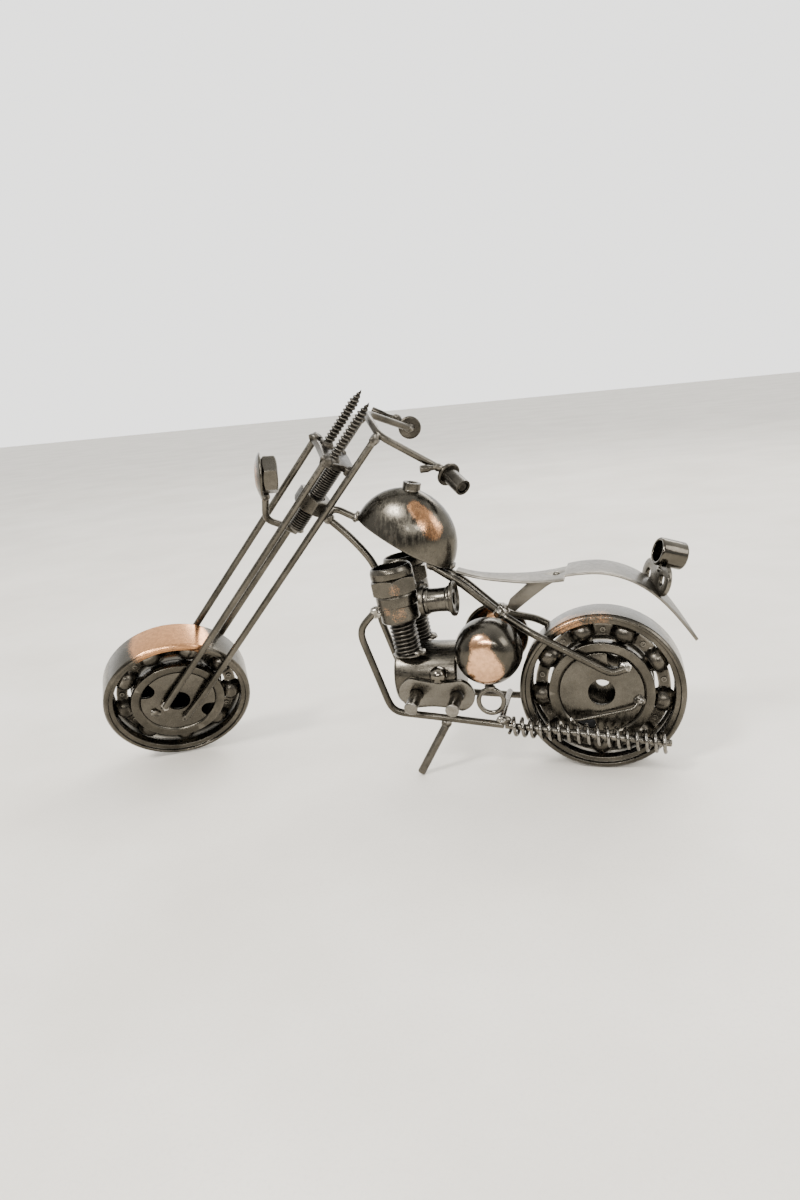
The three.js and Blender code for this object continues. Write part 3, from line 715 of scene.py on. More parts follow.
def ball(radius):
    """Polished bearing ball with closely spaced rings."""
    steps = 20
    return lathe([(radius * math.sin(math.pi * k / steps), -radius * math.cos(math.pi * k / steps))
                  for k in range(steps + 1)], 36, closed=False)


def rivet():
    """Flat cage rivet with a dimpled head on each face."""
    head = [(0, 1.05), (0.42, 1.05), (0.62, 1.32), (0.95, 1.3), (1.1, 0.95), (1.1, 0.6)]
    return lathe([*head, *[(r, -z) for r, z in reversed(head)]], 20, closed=False)


def hub_disc(turn, hole):
    """Blanking disc with a round centre hole and two half-round notches in its edge."""
    radius = BORE_R - 0.12
    reach = BORE_R - 1.2
    steps = 120
    outline = []
    for i in range(steps):
        angle = TAU * i / steps
        p = Vector((radius * math.cos(angle), radius * math.sin(angle)))
        for side in (turn, turn + math.pi):
            centre = Vector((math.cos(side), math.sin(side))) * reach
            if (p - centre).length < NOTCH_R:
                inward = -centre.normalized()
                across = Vector((-inward.y, inward.x))
                slide = (p - centre).dot(across)
                depth = math.sqrt(max(0.0, NOTCH_R ** 2 - slide ** 2))
                p = centre + across * slide + inward * depth
        outline.append((p.x, p.y))
    return outline_plate(outline, [(0, 0, hole)], DISC_OUT - DISC_T, DISC_OUT, 0.18)


def wheel(prefix, space, notch_turn, ball_turn, body, copper):
    """All pieces of one bearing; angles in degrees, copper in tyre radii."""
    ring = dict(space=space @ SPIN_AXLE)
    lathed = (tuple(space @ Vector((0, 0, 0))), tuple((space.to_3x3() @ Y).normalized()))
    copper = [(tuple(space @ (Vector(spot) * TYRE_R)), reach * TYRE_R * MM, strength)
              for spot, reach, strength in copper]
    turned_face = steel(f"{prefix}_turned_face", rough=0.26, rings=lathed, wear=0.4, bump=0.2,
                        **GUN)

    outer = eased([
        (RIM_R - 1, -HALF), (RIM_R, 1 - HALF), (RIM_R, HALF - 1), (RIM_R - 1, HALF),
        (LIP_R, HALF), (LIP_R - 0.1, HALF - 1.2), (OUTER_SHOULDER_R, HALF - 1.4),
        (OUTER_SHOULDER_R, 4.6)], 0.35, closed=False)
    outer += race(PITCH_R, 1, 3.4, -3.4)
    outer += eased([
        (OUTER_SHOULDER_R, -4.6), (OUTER_SHOULDER_R, 1.4 - HALF),
        (LIP_R - 0.1, 1.2 - HALF), (LIP_R, -HALF), (RIM_R - 1, -HALF)], 0.35, closed=False)[:-1]
    tread = steel(f"{prefix}_tread", rough=0.28, rings=lathed, wear=0.45, bump=0.2,
                  copper=copper, **GUN)
    build(f"{prefix}_tyre", lathe(outer, 160), body=f"{prefix}_tyre", slot="satin_steel",
          finish=tread, nodes=[f"{prefix}_outer_ring"], **ring)

    inner = eased([
        (INNER_SHOULDER_R, 3.6), (INNER_SHOULDER_R, HALF), (BORE_R + 0.9, HALF),
        (BORE_R, HALF - 0.9), (BORE_R, 0.9 - HALF), (BORE_R + 0.9, -HALF),
        (INNER_SHOULDER_R, -HALF), (INNER_SHOULDER_R, -3.6)], 0.3, closed=False)
    inner += race(PITCH_R, -1, -3.4, 3.4)
    build(f"{prefix}_inner_race", lathe(inner, 128), body=body, slot="gunmetal_steel",
          finish=turned_face, nodes=[f"{prefix}_inner_ring"], **ring)

    balls, rivets = [], []
    for i in range(BALLS):
        angle = ball_turn * DEG + TAU * i / BALLS
        out = Vector((math.cos(angle), math.sin(angle), 0)) * PITCH_R
        balls.append(shifted(ball(BALL_R - 0.03),
                             Matrix.Translation(out) @ Matrix.Rotation(angle + i, 4, "X")))
        between = angle + math.pi / BALLS
        out = Vector((math.cos(between), math.sin(between), 0)) * PITCH_R
        rivets.append(shifted(rivet(), Matrix.Translation(out)))
    cage_body = f"{prefix}_cage"
    build(f"{prefix}_balls", joined(*balls), body=cage_body, slot="dark_steel",
          finish=polished_ball, nodes=[f"{prefix}_ball_cage"], **ring)
    for side, sign in (("near", 1), ("far", -1)):
        build(f"{prefix}_cage_{side}", cage_half(ball_turn * DEG, sign), body=cage_body,
              slot="dark_steel", finish=cage_metal, **ring)
    build(f"{prefix}_cage_rivets", joined(*rivets), body=cage_body, slot="dark_steel",
          finish=cage_metal, **ring)

    disc = hub_disc(notch_turn * DEG, HOLE_R)
    build(f"{prefix}_disc_near", disc, body=body, slot="gunmetal_steel", finish=disc_face,
          nodes=[f"{prefix}_hub_disc_near"], **ring)
    far = shifted(hub_disc(notch_turn * DEG, PILOT_R), Matrix.Scale(-1, 4, Z))
    build(f"{prefix}_disc_far", far, body=body, slot="gunmetal_steel", finish=disc_face,
          nodes=[f"{prefix}_hub_disc_far"], **ring)
    # Near-black lining round the bore between the two discs: painted shade, so the hub holes look
    # dark inside.
    room = DISC_OUT - DISC_T - 0.1
    build(f"{prefix}_bore_soot", lathe([
        (BORE_R - 0.25, -room), (BORE_R - 0.05, -room), (BORE_R - 0.05, room),
        (BORE_R - 0.25, room)], 96), body=body, slot="dark_steel", finish=painted_shade_black, **ring)


disc_face = steel("disc_face", rough=0.25, grain=(6.0, 1.0, 0.4), bump=0.2, wear=0.4, **GUN)
# Near-black rough finish: painted shade inside the wheel bores and the cylinder mouths.
painted_shade_black = steel("painted_shade_black", rough=0.7, wear=0.0, bump=0.3, dark=(0.004, 0.004, 0.003),
             mid=(0.008, 0.007, 0.006), light=(0.016, 0.014, 0.012))
polished_ball = steel("polished_ball", rough=0.13, wear=0.0, bump=0.06, pits=0.15,
                      dark=(0.07, 0.062, 0.05), mid=(0.13, 0.118, 0.097), light=(0.2, 0.18, 0.15))
cage_metal = steel("cage_metal", rough=0.3, bump=0.3, wear=0.6, **DIM)

wheel("rear", REAR_WHEEL, 66, 27, "frame", [((-0.38, -0.26, 0.93), 0.34, 0.4),
                                            ((-0.05, -0.26, 1.0), 0.3, 0.36)])
wheel("front", FRONT_WHEEL, 3, 25.5, "fork", [((-0.70, 0.0, 0.72), 0.52, 0.85),
                                              ((-0.36, 0.0, 0.93), 0.46, 0.9)])

# ---- rods ----

lines = {}


def rod(node, space, body, radius, slot="gunmetal_steel", finish=drawn_rod, sides=8,
        ease=0.3):
    """Smooth bar along the middle of a CAD rod."""
    line = centreline(node, space, sides)
    lines[node] = line
    build(f"{node}_bar", tube(softened(line), radius, ease=ease), space, body, slot, finish,
          [node])


FORK_ROD_R = 1.4
FRAME_ROD_R = 1.5
for node in ("fork_rod_near_front", "fork_rod_near_rear", "fork_rod_far_front",
             "fork_rod_far_rear", "handlebar", "headlight_bracket"):
    rod(node, FORK, "fork", FORK_ROD_R)
for node in ("head_link", "crash_bar_near", "crash_bar_far"):
    rod(node, BIKE, "frame", FORK_ROD_R)
for node in ("downtube", "frame_rod_near", "frame_rod_far"):
    rod(node, BIKE, "frame", FRAME_ROD_R)
rod("cross_rod", BIKE, "frame", 1.2, slot="bright_steel", finish=bright)
rod("exhaust_hanger", BIKE, "frame", 0.62, slot="bright_steel", finish=bright, sides=6,
    ease=0.15)
rod("exhaust_rod", BIKE, "frame", 1.3, sides=10, finish=bright, ease=0.4)

stand = centreline("kick_stand", BIKE)
if stand[0].z < stand[-1].z:
    stand.reverse()
lines["kick_stand"] = stand
foot_dir = (stand[-1] - stand[0]).normalized()
stand[-1] = stand[-1] - foot_dir * 0.9
build("kick_stand_bar", tube([stand[0], stand[-1]], 1.6, ease=0.5), BIKE, "frame",
      "dark_steel", dark_steel, ["kick_stand"])

# ---- fork hardware ----

for side in ("near", "far"):
    low, high = span(f"spring_screw_{side}", FORK)
    spot = (low + high) / 2
    screw = threaded(0, high.z - low.z, 2.05, 0.75, 1.62, sides=24, steps=8, tip=5.2)
    build(f"spring_screw_{side}_thread", screw, moved(FORK, spot.x, spot.y, low.z), "fork",
          "blackened_steel", blackened, [f"spring_screw_{side}"], crease=70)

low, high = span("steering_bolt", FORK)
STEM_CREST, STEM_DEPTH, STEM_PITCH = 3.24, 0.55, 1.0
bolt = threaded(low.z, high.z, STEM_CREST, STEM_DEPTH, STEM_PITCH, sides=40, steps=8)
build("steering_bolt_thread", bolt, FORK, "fork", "blackened_steel", blackened,
      ["steering_bolt"], crease=70)

low, high = span("fork_yoke", FORK)
yoke_mid = (low.z + high.z) / 2
flare = high.y
plate = outline_plate([
    (low.x, -flare), (low.x + 2.6, -flare * 1.02), (-4.4, -flare * 0.9), (-1.2, -8),
    (high.x - 0.6, -8.2), (high.x, -5), (high.x, 5), (high.x - 0.6, 8.2), (-1.2, 8),
    (-4.4, flare * 0.9), (low.x + 2.6, flare * 1.02), (low.x, flare), (low.x + 1.3, 4),
    (low.x + 1.3, -4)], [], low.z, high.z, 0.5)
lumps = []
for seed, (size, rough, at) in enumerate([
        ((2.9, 2.3, 2.5), 0.3, (low.x + 2.2, -flare + 1.8, yoke_mid + 0.4)),
        ((2.9, 2.3, 2.5), 0.3, (low.x + 2.2, flare - 1.8, yoke_mid + 0.4)),
        ((2.4, 2.2, 2.3), 0.3, (high.x - 2.4, -7.6, yoke_mid)),
        ((2.4, 2.2, 2.3), 0.3, (high.x - 2.4, 7.6, yoke_mid)),
        ((3.0, 2.8, 2.0), 0.3, (-5.4, -6, yoke_mid + 1.0)),
        ((3.0, 2.8, 2.0), 0.3, (-5.4, 6, yoke_mid + 1.0)),
        ((4.8, 4.6, 1.8), 0.25, (0, 0, yoke_mid - 1.0))], start=11):
    lumps.append(shifted(bead(size, seed, rough), Matrix.Translation(at)))
build("fork_yoke_weldment", joined(plate, *lumps), FORK, "fork", "blackened_steel",
      steel("yoke_weld", rough=0.34, wear=0.7, bump=0.6, **INK),
      ["fork_yoke"])

# Grips: cupped washer, tube and an inner plug, along the line of the bar's ends.
FLANGE_R, BARREL_R, PLUG_R = 4.7, 3.1, 1.8
LEVER_THIN, LEVER_GAIN = 0.95, 0.5
for side in ("near", "far"):
    bar = lines["handlebar"]
    centre = middle(f"grip_{side}", FORK)
    end = min((bar[0], bar[-1]), key=lambda p: (p - centre).length)
    aim = (centre - end).normalized()
    place = facing(FORK, end, aim)
    low, high = span(f"grip_{side}", place)
    length = high.z - low.z
    flange = eased([(0, 0), (FLANGE_R - 0.6, 0), (FLANGE_R, 0.35), (FLANGE_R, 1.4),
                    (FLANGE_R - 0.5, 1.8), (3.8, 1.7), (BARREL_R, 1.55)], 0.25, closed=False)
    barrel = eased([(BARREL_R, length), (2.25, length), (2.2, length - 1.6)], 0.2,
                   closed=False)
    body = lathe([*flange, *barrel, (0, length - 1.8)], 48, closed=False)
    plug = spun([(0, length - 2), (PLUG_R, length - 2), (PLUG_R, length - 0.5),
                 (PLUG_R - 0.3, length - 0.3), (0, length - 0.25)], 0.15, 28)
    build(f"grip_{side}_tube", joined(body, plug), moved(place, z=low.z), "fork", "dark_steel",
          dark_steel, [f"grip_{side}"], bevel=0.12)
    lever = centreline(f"lever_{side}", FORK)
    if (lever[0] - end).length > (lever[-1] - end).length:
        lever.reverse()
    lines[f"lever_{side}"] = lever
    run = sum((b - a).length for a, b in zip(lever, lever[1:]))
    thick = (lambda d, run=run: LEVER_THIN + LEVER_GAIN * min(
        1.0, max(0.0, (d - 0.35 * run) / (0.2 * run))))
    build(f"lever_{side}_bar", tube(softened(lever), thick, ease=0.5), FORK, "fork",
          "dark_steel", dark_steel, [f"lever_{side}"])

# Headlight: hexagon nut with a domed disc in front of it.
LIGHT_AIM = Vector((-0.83, 0.09, -0.55)).normalized()
lamp = facing(FORK, middle("headlight_nut", FORK), LIGHT_AIM)
low, high = span("headlight_nut", lamp)
across = high.y - low.y
build("headlight_nut_body", nut(across if across < 14 else 13, 3.4, high.z - low.z),
      turned(moved(lamp, z=(low.z + high.z) / 2), 90, "Z"), "fork", "gunmetal_steel", gunmetal,
      ["headlight_nut"], bevel=0.15)
low, high = span("headlight_lens", lamp)
rim = (high.x - low.x) / 2
spot = lamp @ Vector(((low.x + high.x) / 2, 0, high.z))
disc_metal = steel("headlight_copper", rough=0.27, bump=0.3,
                   copper=[(tuple(spot), rim * 1.1 * MM, 0.5)], **GUN)
shell = spun([(0, low.z), (rim - 0.3, low.z), (rim, low.z + 0.5), (rim - 0.4, low.z + 1.0),
              (rim * 0.72, low.z + 1.9), (rim * 0.4, high.z - 0.15), (0, high.z)], 0.8, 72)
build("headlight_disc", shell, moved(lamp, (low.x + high.x) / 2), "fork",
      "coppered_steel", disc_metal, ["headlight_lens"])

# ---- steering head and tank ----

sideways = Z.cross(STEM).normalized()
STEER_AXES = axes(HEAD, sideways.cross(STEM) * -1, sideways, STEM)
low, high = span("steering_nut", STEER_AXES)
flats = min(high.x - low.x, high.y - low.y)
head_turn = 0 if (high.x - low.x) < (high.y - low.y) else 90
build("steering_nut_body", nut(flats, 3.5, high.z - low.z), turned(STEER_AXES, head_turn, "Z"),
      "frame", "gunmetal_steel", gunmetal, ["steering_nut"], bevel=0.15)

TANK_SLOPE = 31.3
SLOPED = turned(BIKE, TANK_SLOPE, "Y")
low, high = span("tank_shell", SLOPED)
TANK_LENGTH, TANK_HALF, TANK_HEIGHT = high.x - low.x, (high.y - low.y) / 2, high.z - low.z
TANK = moved(SLOPED, low.x, (low.y + high.y) / 2, low.z)
WIDEST = 0.6 * TANK_LENGTH
TANK_WALL = 1.0


def tank_outline(inset, sides=120):
    out = []
    for i in range(sides):
        a = TAU * i / sides
        reach = math.cos(a) * (TANK_LENGTH - WIDEST - inset)
        if math.cos(a) < 0:
            reach = -(abs(math.cos(a)) ** 1.25) * (WIDEST - 1.8 * inset)
        out.append((WIDEST + reach, math.sin(a) * (TANK_HALF - inset)))
    return out


def tank_dome(inset, drop, rings=30):
    """Rings of the drawn dome from the rim up."""
    centre = (0.47 * TANK_LENGTH, 0)
    rows = []
    for k in range(rings):
        climb = k / rings * math.pi / 2
        rows.append([(centre[0] + (x - centre[0]) * math.cos(climb), y * math.cos(climb),
                      TANK_HEIGHT * math.sin(climb) - drop) for x, y in tank_outline(inset)])
    return rows, (*centre, TANK_HEIGHT - drop)


outside, crown = tank_dome(0, 0)
inside, ceiling = tank_dome(TANK_WALL, TANK_WALL)
inside[0] = [(x, y, 0.12) for x, y, z in inside[0]]
inside = [row for row in inside if row[0][2] > 0]
rows = list(reversed(inside)) + [[(x, y, 0.0) for x, y in tank_outline(0.7)]]
rows += [[(x, y, 0.0) for x, y in tank_outline(0.25)],
         [(x, y, 0.3) for x, y in tank_outline(0.0)]] + outside[1:]
points = [p for row in rows for p in row]
n = len(rows[0])
faces = [(k * n + i, k * n + (i + 1) % n, (k + 1) * n + (i + 1) % n, (k + 1) * n + i)
         for k in range(len(rows) - 1) for i in range(n)]
points += [ceiling, crown]
last = (len(rows) - 1) * n
faces += [((i + 1) % n, i, len(points) - 2) for i in range(n)]
faces += [(last + i, last + (i + 1) % n, len(points) - 1) for i in range(n)]
patch = TANK @ Vector((0.47 * TANK_LENGTH, -0.66 * TANK_HALF, 0.80 * TANK_HEIGHT))
patch_rear = TANK @ Vector((0.72 * TANK_LENGTH, -0.78 * TANK_HALF, 0.60 * TANK_HEIGHT))
tank_metal = steel("tank_metal", rough=0.24, grain=(1.0, 1.0, 0.10), spin=(0, 0.5, 0), bump=0.3,
                   copper=[(tuple(patch.lerp(patch_rear, k / 4)), 0.0043 + 0.0004 * k, 0.62)
                           for k in range(5)],
                   wear=0.4, **GUN)
build("tank_drawn_shell", (points, faces), TANK, "frame", "gunmetal_steel", tank_metal,
      ["tank_shell"])

CAP_AIM = Vector((0.24, 0, 1)).normalized()
cap = facing(BIKE, middle("tank_cap", BIKE), CAP_AIM)
low, high = span("tank_cap", cap)
rim = (high.y - low.y) / 2
CAP_BORE = 2.0
ring = spun([(CAP_BORE, low.z), (rim, low.z), (rim, high.z), (CAP_BORE, high.z),
             (CAP_BORE, high.z - 1.6), (0, high.z - 1.7)], 0.3, 48)
build("tank_cap_tube", ring, moved(cap, (low.x + high.x) / 2), "frame",
      "gunmetal_steel", gunmetal, ["tank_cap"])

# ---- engine ----

low, high = span("crankcase", BIKE)
case_r = (high.z - low.z) / 2
case = axes(BIKE @ Vector((low.x, 0, (low.z + high.z) / 2)), -Z, Y, X)
length = high.x - low.x
EDGE = 0.8
build("crankcase_bar", spun([
    (0, 0.25), (1.2, 0), (case_r - EDGE, 0), (case_r, EDGE), (case_r, length - EDGE),
    (case_r - EDGE, length), (1.2, length), (0, length - 0.25)], 0.35, 96),
    case, "frame", "gunmetal_steel",
    steel("case_metal", rough=0.27, grain=(0.2, 2.0, 2.0), bump=0.3, **GUN), ["crankcase"])

CYL_LEAN = -6.5
BAND_R, MOUTH_R, STUD_BORE, CYL_FLATS = 8.3, 6.9, 5.3, 16.5
COLLAR, HEX = (6.5, 10.3), (11.2, 17.2)      # heights of the collar and the hexagon's neck
LEANING = turned(BIKE, CYL_LEAN, "Y")
for side, s in (("near", -1), ("far", 1)):
    node = f"cylinder_nut_{side}"
    low, high = span(node, LEANING)
    mid = (low + high) / 2
    tall = high.z - low.z
    place = moved(LEANING, mid.x, mid.y, low.z)
    sleeve = 0.905 * (high.y - low.y) / 2 * 0.905
    wear_spots = []
    if s < 0:
        wear_spots = [(tuple(place @ Vector((2.4, -8.6, 13.5))), 0.0036, 0.30),
                      (tuple(place @ Vector((1.5, -7.4, 3.5))), 0.0042, 0.27),
                      (tuple(place @ Vector((-3.0, -7.4, 5.5))), 0.0030, 0.27)]
    metal = steel(f"cylinder_metal_{side}", rough=0.27, copper=wear_spots, **GUN)
    body = lathe(eased([
        (STUD_BORE, 0), (sleeve - 0.5, 0), (sleeve, 0.6), (sleeve, COLLAR[0] - 0.6),
        (sleeve + 0.1, COLLAR[0] - 0.3), (sleeve + 0.45, COLLAR[0]),
        (sleeve + 0.45, COLLAR[1]), (sleeve + 0.2, COLLAR[1] + 0.5), (BAND_R - 0.7, HEX[0]),
        (BAND_R - 0.7, HEX[1]), (BAND_R, HEX[1] + 0.5), (BAND_R, tall - 1.8),
        (BAND_R - 0.5, tall - 0.4), (BAND_R - 1.0, tall), (MOUTH_R + 0.2, tall),
        (MOUTH_R, tall - 0.5), (MOUTH_R, tall - 9.8), (STUD_BORE, tall - 11.5)], 0.3), 72)
    # Near-black sleeve and floor inside the mouth: painted shade that darkens the hollow of the
    # cylinder nut.
    build(f"{node}_soot", lathe([
        (0, tall - 9.6), (MOUTH_R - 0.03, tall - 9.6), (MOUTH_R - 0.03, tall - 0.35),
        (MOUTH_R - 0.15, tall - 0.35), (MOUTH_R - 0.15, tall - 9.4), (0, tall - 9.4)], 72,
        closed=False), place, "frame", "dark_steel", painted_shade_black)
    hexagon = shifted(nut(CYL_FLATS, 7.2, 6.6, chamfer=0.955),
                      Matrix.Translation((0, 0, sum(HEX) / 2)) @ Matrix.Rotation(-47 * DEG, 4, "Z"))
    build(f"{node}_body", joined(body, hexagon), place, "frame", "gunmetal_steel", metal, [node],
          bevel=0.12)
    stud = f"cylinder_stud_{side}"
    below, above = span(stud, place)
    build(f"{stud}_thread", threaded(below.z + 0.6, above.z, 5.25, 0.8, 1.6, sides=56, steps=9),
          place, "frame", "blackened_steel", blackened, [stud], crease=70)

# Air cleaner: a chain roller between two washers.
start = middle("air_flange_front", BIKE)
spool_aim = (middle("air_flange_rear", BIKE) - start).normalized()
spool = facing(BIKE, start, spool_aim)
for node, edge in (("air_flange_front", 0.4), ("air_flange_rear", 0.6)):
    low, high = span(node, spool)
    r = (high.y - low.y) / 2
    t = high.z - low.z
    if node.endswith("rear"):
        prof = [(2.2, 0), (r - 0.5, 0), (r, 0.4), (r, t - 0.3), (r - 0.5, t), (r - 1.5, t),
                (r - 1.9, t - 0.7), (2.2, t - 0.7)]
    else:
        prof = [(2.2, 0), (r, 0), (r, t), (2.2, t)]
    build(f"{node}_washer", lathe(eased(prof, edge), 64), moved(spool, z=low.z), "frame",
          "dark_steel", gunmetal, [node])
low, high = span("air_roller", spool)
r, t = (high.y - low.y) / 2, high.z - low.z
build("air_roller_tube", lathe(eased([
    (2.6, 0), (r + 0.5, 0), (r + 0.5, 1.0), (r, 1.5), (r - 0.15, t / 2), (r, t - 1.5),
    (r + 0.4, t - 1.0), (r + 0.4, t), (2.6, t)], 0.3), 56), moved(spool, z=low.z), "frame",
    "bright_steel", bright, ["air_roller"])

# Drawn cups with their mouths facing each other.
for side, s in (("near", -1), ("far", 1)):
    node = f"drive_cup_{side}"
    low, high = span(node, BIKE)
    mid = (low + high) / 2
    r, depth = (high.z - low.z) / 2, high.y - low.y
    rim_y = high.y if s < 0 else low.y
    cup = axes(BIKE @ Vector((mid.x, rim_y, mid.z)), X, Y * s, Z * s) @ Matrix.Rotation(
        -90 * DEG, 4, "X")
    wall, steps = 1.0, 22
    prof = [((r * math.cos(i / steps * math.pi / 2) ** 0.6) if i < steps else 0.0,
             depth * math.sin(i / steps * math.pi / 2)) for i in range(steps + 1)]
    inner = [(((r - wall) * math.cos(i / steps * math.pi / 2) ** 0.6) if i < steps else 0.0,
              (depth - wall) * math.sin(i / steps * math.pi / 2)) for i in range(steps, -1, -1)]
    prof = prof[1:] + inner[:-1] + [(r - wall, 0.15), (r - 0.7, -0.05), (r - 0.25, -0.02), (r, 0.3)]
    crown = cup @ Vector((0, 0, depth))
    spots = [(0.0, -0.0046, 0.0092, 0.95), (-0.0004, -0.0002, 0.0070, 0.9),
             (-0.0012, 0.0056, 0.0058, 0.8)]
    metal = steel(f"cup_metal_{side}", rough=0.2, bump=0.2, wear=0.3,
                  copper=[((crown.x + x, crown.y, crown.z + z), reach, strength)
                          for x, z, reach, strength in spots],
                  tint=(0.80, 0.46, 0.26), **GUN)
    build(f"{node}_shell", lathe(prof, 96, closed=True), cup, "frame", "coppered_steel", metal,
          [node])

# Chain plate, its two pins and a ball resting above it.
PLATE_TILT, PLATE_DROOP = 10, 3.5
TILTED = turned(turned(BIKE, 90 + PLATE_TILT, "X"), -PLATE_DROOP, "Z")
PITCH = 15.875
low, high = span("chain_plate", TILTED)
mid = (low + high) / 2
end_r = (high.y - low.y) / 2


def link_plate(pitch, radius, waist, hole, low_z, high_z):
    outline = []
    for end, start in ((1, -75), (-1, 105)):
        for i in range(21):
            a = (start + 150 * i / 20) * DEG
            outline.append((end * pitch / 2 + radius * math.cos(a), radius * math.sin(a)))
        here = Vector(outline[-1])
        there = Vector((-here.x, here.y))
        for k in range(1, 10):
            t = k / 10
            p = here.lerp(there, t)
            dip = (abs(here.y) - waist) * math.sin(math.pi * t)
            outline.append((p.x, p.y - math.copysign(dip, p.y)))
    holes = [(-pitch / 2, 0, hole), (pitch / 2, 0, hole)]
    return outline_plate(outline, holes, low_z, high_z, 0.3)


build("chain_plate_link", link_plate(PITCH, end_r, 5.4, 2.6, low.z, high.z),
      moved(TILTED, mid.x, mid.y), "frame", "satin_steel",
      steel("link_metal", rough=0.3, bump=0.25, wear=0.6, **SAT), ["chain_plate"])
pin_end = steel("pin_metal", rough=0.3, wear=0.8, bump=0.5, grain=(4, 1, 1), **RAW)
for end in ("front", "rear"):
    node = f"chain_pin_{end}"
    low, high = span(node, TILTED)
    mid = (low + high) / 2
    r, t = (high.x - low.x) / 2, high.z - low.z
    shank = spun([(0, 0), (r, 0), (r, t - 1.4), (r - 0.1, t - 1.2)], 0.2, 36)
    head = spun([(r - 0.15, t - 1.5), (r + 0.2, t - 1.1), (r + 0.25, t - 0.35),
                 (r - 0.2, t), (0.9, t), (0, t - 0.12)], 0.2, 36)
    place = moved(TILTED, mid.x, mid.y, low.z)
    build(f"{node}_shank", shank, place, "frame", "bright_steel", gunmetal, [node])
    build(f"{node}_face", head, place, "frame", "bright_steel", pin_end)
centre = middle("timing_ball", BIKE)
low, high = span("timing_ball", BIKE)
build("timing_ball_steel", ball((high.z - low.z) / 2), facing(BIKE, centre, (0.2, -1, 0.1)),
      "frame", "dark_steel", polished_ball, ["timing_ball"])

# ---- seat, fender and tail ----

seat = stations("seat", BIKE)
fender = stations("fender", BIKE)
tail_x = seat[-1][0]
build("seat_strip", ribbon(seat, 1.2, 0.25, (tail_x - 3.5, 0, 4.5, 3.0, 0.9)), BIKE, "frame",
      "satin_steel", satin, ["seat"])
build("fender_strip", ribbon(fender, 1.0, 0.35), BIKE, "frame", "satin_steel",
      steel("fender_metal", rough=0.34, grain=(0.3, 3, 0.3), bump=0.25, wear=0.5, **SAT),
      ["fender"])
rivet_place = BIKE @ Vector((tail_x - 3.5, 0, seat[-1][1] + 0.1))
build("seat_rivet", lathe([(0, 1.0), (0.5, 0.95), (1.0, 0.7), (1.3, 0.2), (1.3, -0.3),
                           (0, -0.3)], 24, closed=False),
      axes(rivet_place, X, Y, Z), "frame", "bright_steel", bright)

bm = welded("seat_strut", BIKE)
loop_verts = {(round(v.co.x, 2), round(v.co.z, 2)) for v in bm.verts}
bm.free()
low, high = span("seat_strut", BIKE)
cx = sum(p[0] for p in loop_verts) / len(loop_verts)
cz = sum(p[1] for p in loop_verts) / len(loop_verts)


def around(p):
    """Turn of a corner about the middle of the strut, from its long side."""
    x, z = p[0] - cx, p[1] - cz
    return math.atan2(-x * 0.62 + z * 0.78, x * 0.78 + z * 0.62)


build("seat_strut_plate", outline_plate(sorted(loop_verts, key=around), [], -high.y, -low.y, 0.2),
      turned(BIKE, 90, "X"), "frame", "satin_steel", satin, ["seat_strut"])

TAIL = turned(turned(BIKE, 20, "Z"), 14, "Y")
low, high = span("tail_bracket", TAIL)
mid = (low + high) / 2
TAIL_PITCH, TAIL_LOBE_R, TAIL_WAIST, TAIL_HOLE_R = 12.7, 5.8, 4.4, 2.1
build("tail_bracket_link", link_plate(TAIL_PITCH, TAIL_LOBE_R, TAIL_WAIST, TAIL_HOLE_R, 0,
                                      high.x - low.x),
      TAIL @ Matrix.Translation((low.x, mid.y, high.z - TAIL_LOBE_R))
      @ Matrix.Rotation(90 * DEG, 4, "Z") @ Matrix.Rotation(90 * DEG, 4, "X"),
      "frame", "dark_steel", gunmetal, ["tail_bracket"])
LAMP = turned(TAIL, 5, "Y")
low, high = span("tail_light", LAMP)
mid = (low + high) / 2
r, t = (high.z - low.z) / 2, high.x - low.x
roller = turned(moved(LAMP, low.x, mid.y, mid.z), 90, "Y")
build("tail_light_roller", lathe(eased([
    (3.9, 0.2), (4.3, 0), (r - 0.4, 0), (r, 0.5), (r, t - 0.5), (r - 0.4, t), (4.3, t),
    (3.9, t - 0.2)], 0.25), 64), roller, "frame", "dark_steel",
    steel("roller_metal", rough=0.16, bump=0.25, wear=0.4, **GUN), ["tail_light"])

# ---- exhaust ----

pipe = lines["exhaust_rod"]
pipe = pipe if pipe[0].x < pipe[-1].x else pipe[::-1]
pipe_aim = pipe[-1] - pipe[0]
pipe_length = pipe_aim.length
TURNS, WIRE_R, STEPS = 17, 0.68, 26
coil = []
for i in range(int(TURNS * STEPS) + 1):
    t = i / int(TURNS * STEPS)
    a = TAU * t * TURNS
    r = 3.2 + 0.3 * t
    run = 1.6 + (pipe_length - 3.4) * (t - 0.012 * math.sin(TAU * t))
    coil.append(Vector((r * math.cos(a), r * math.sin(a), run)))
build("exhaust_spring_coil", tube(coil, WIRE_R, sides=12, ease=0.15),
      facing(BIKE, pipe[0], pipe_aim), "frame", "bright_steel",
      steel("spring_wire", rough=0.22, wear=0.5, dark=(0.045, 0.041, 0.035),
            mid=(0.10, 0.092, 0.08), light=(0.18, 0.168, 0.146)), ["exhaust_spring"])

low, high = span("lower_ring", BIKE)
mid = (low + high) / 2
thick = (high.y - low.y) / 2
hoop_r = (high.x - low.x) / 2 - thick
build("lower_ring_hoop", lathe([
    (hoop_r + thick * 1.15 * math.cos(TAU * k / 14), thick * math.sin(TAU * k / 14))
    for k in range(14)], 56), turned(moved(BIKE, mid.x, mid.y, mid.z), 90, "X"), "frame",
    "satin_steel", bright, ["lower_ring"])

# ---- weld metal ----

welds = 0


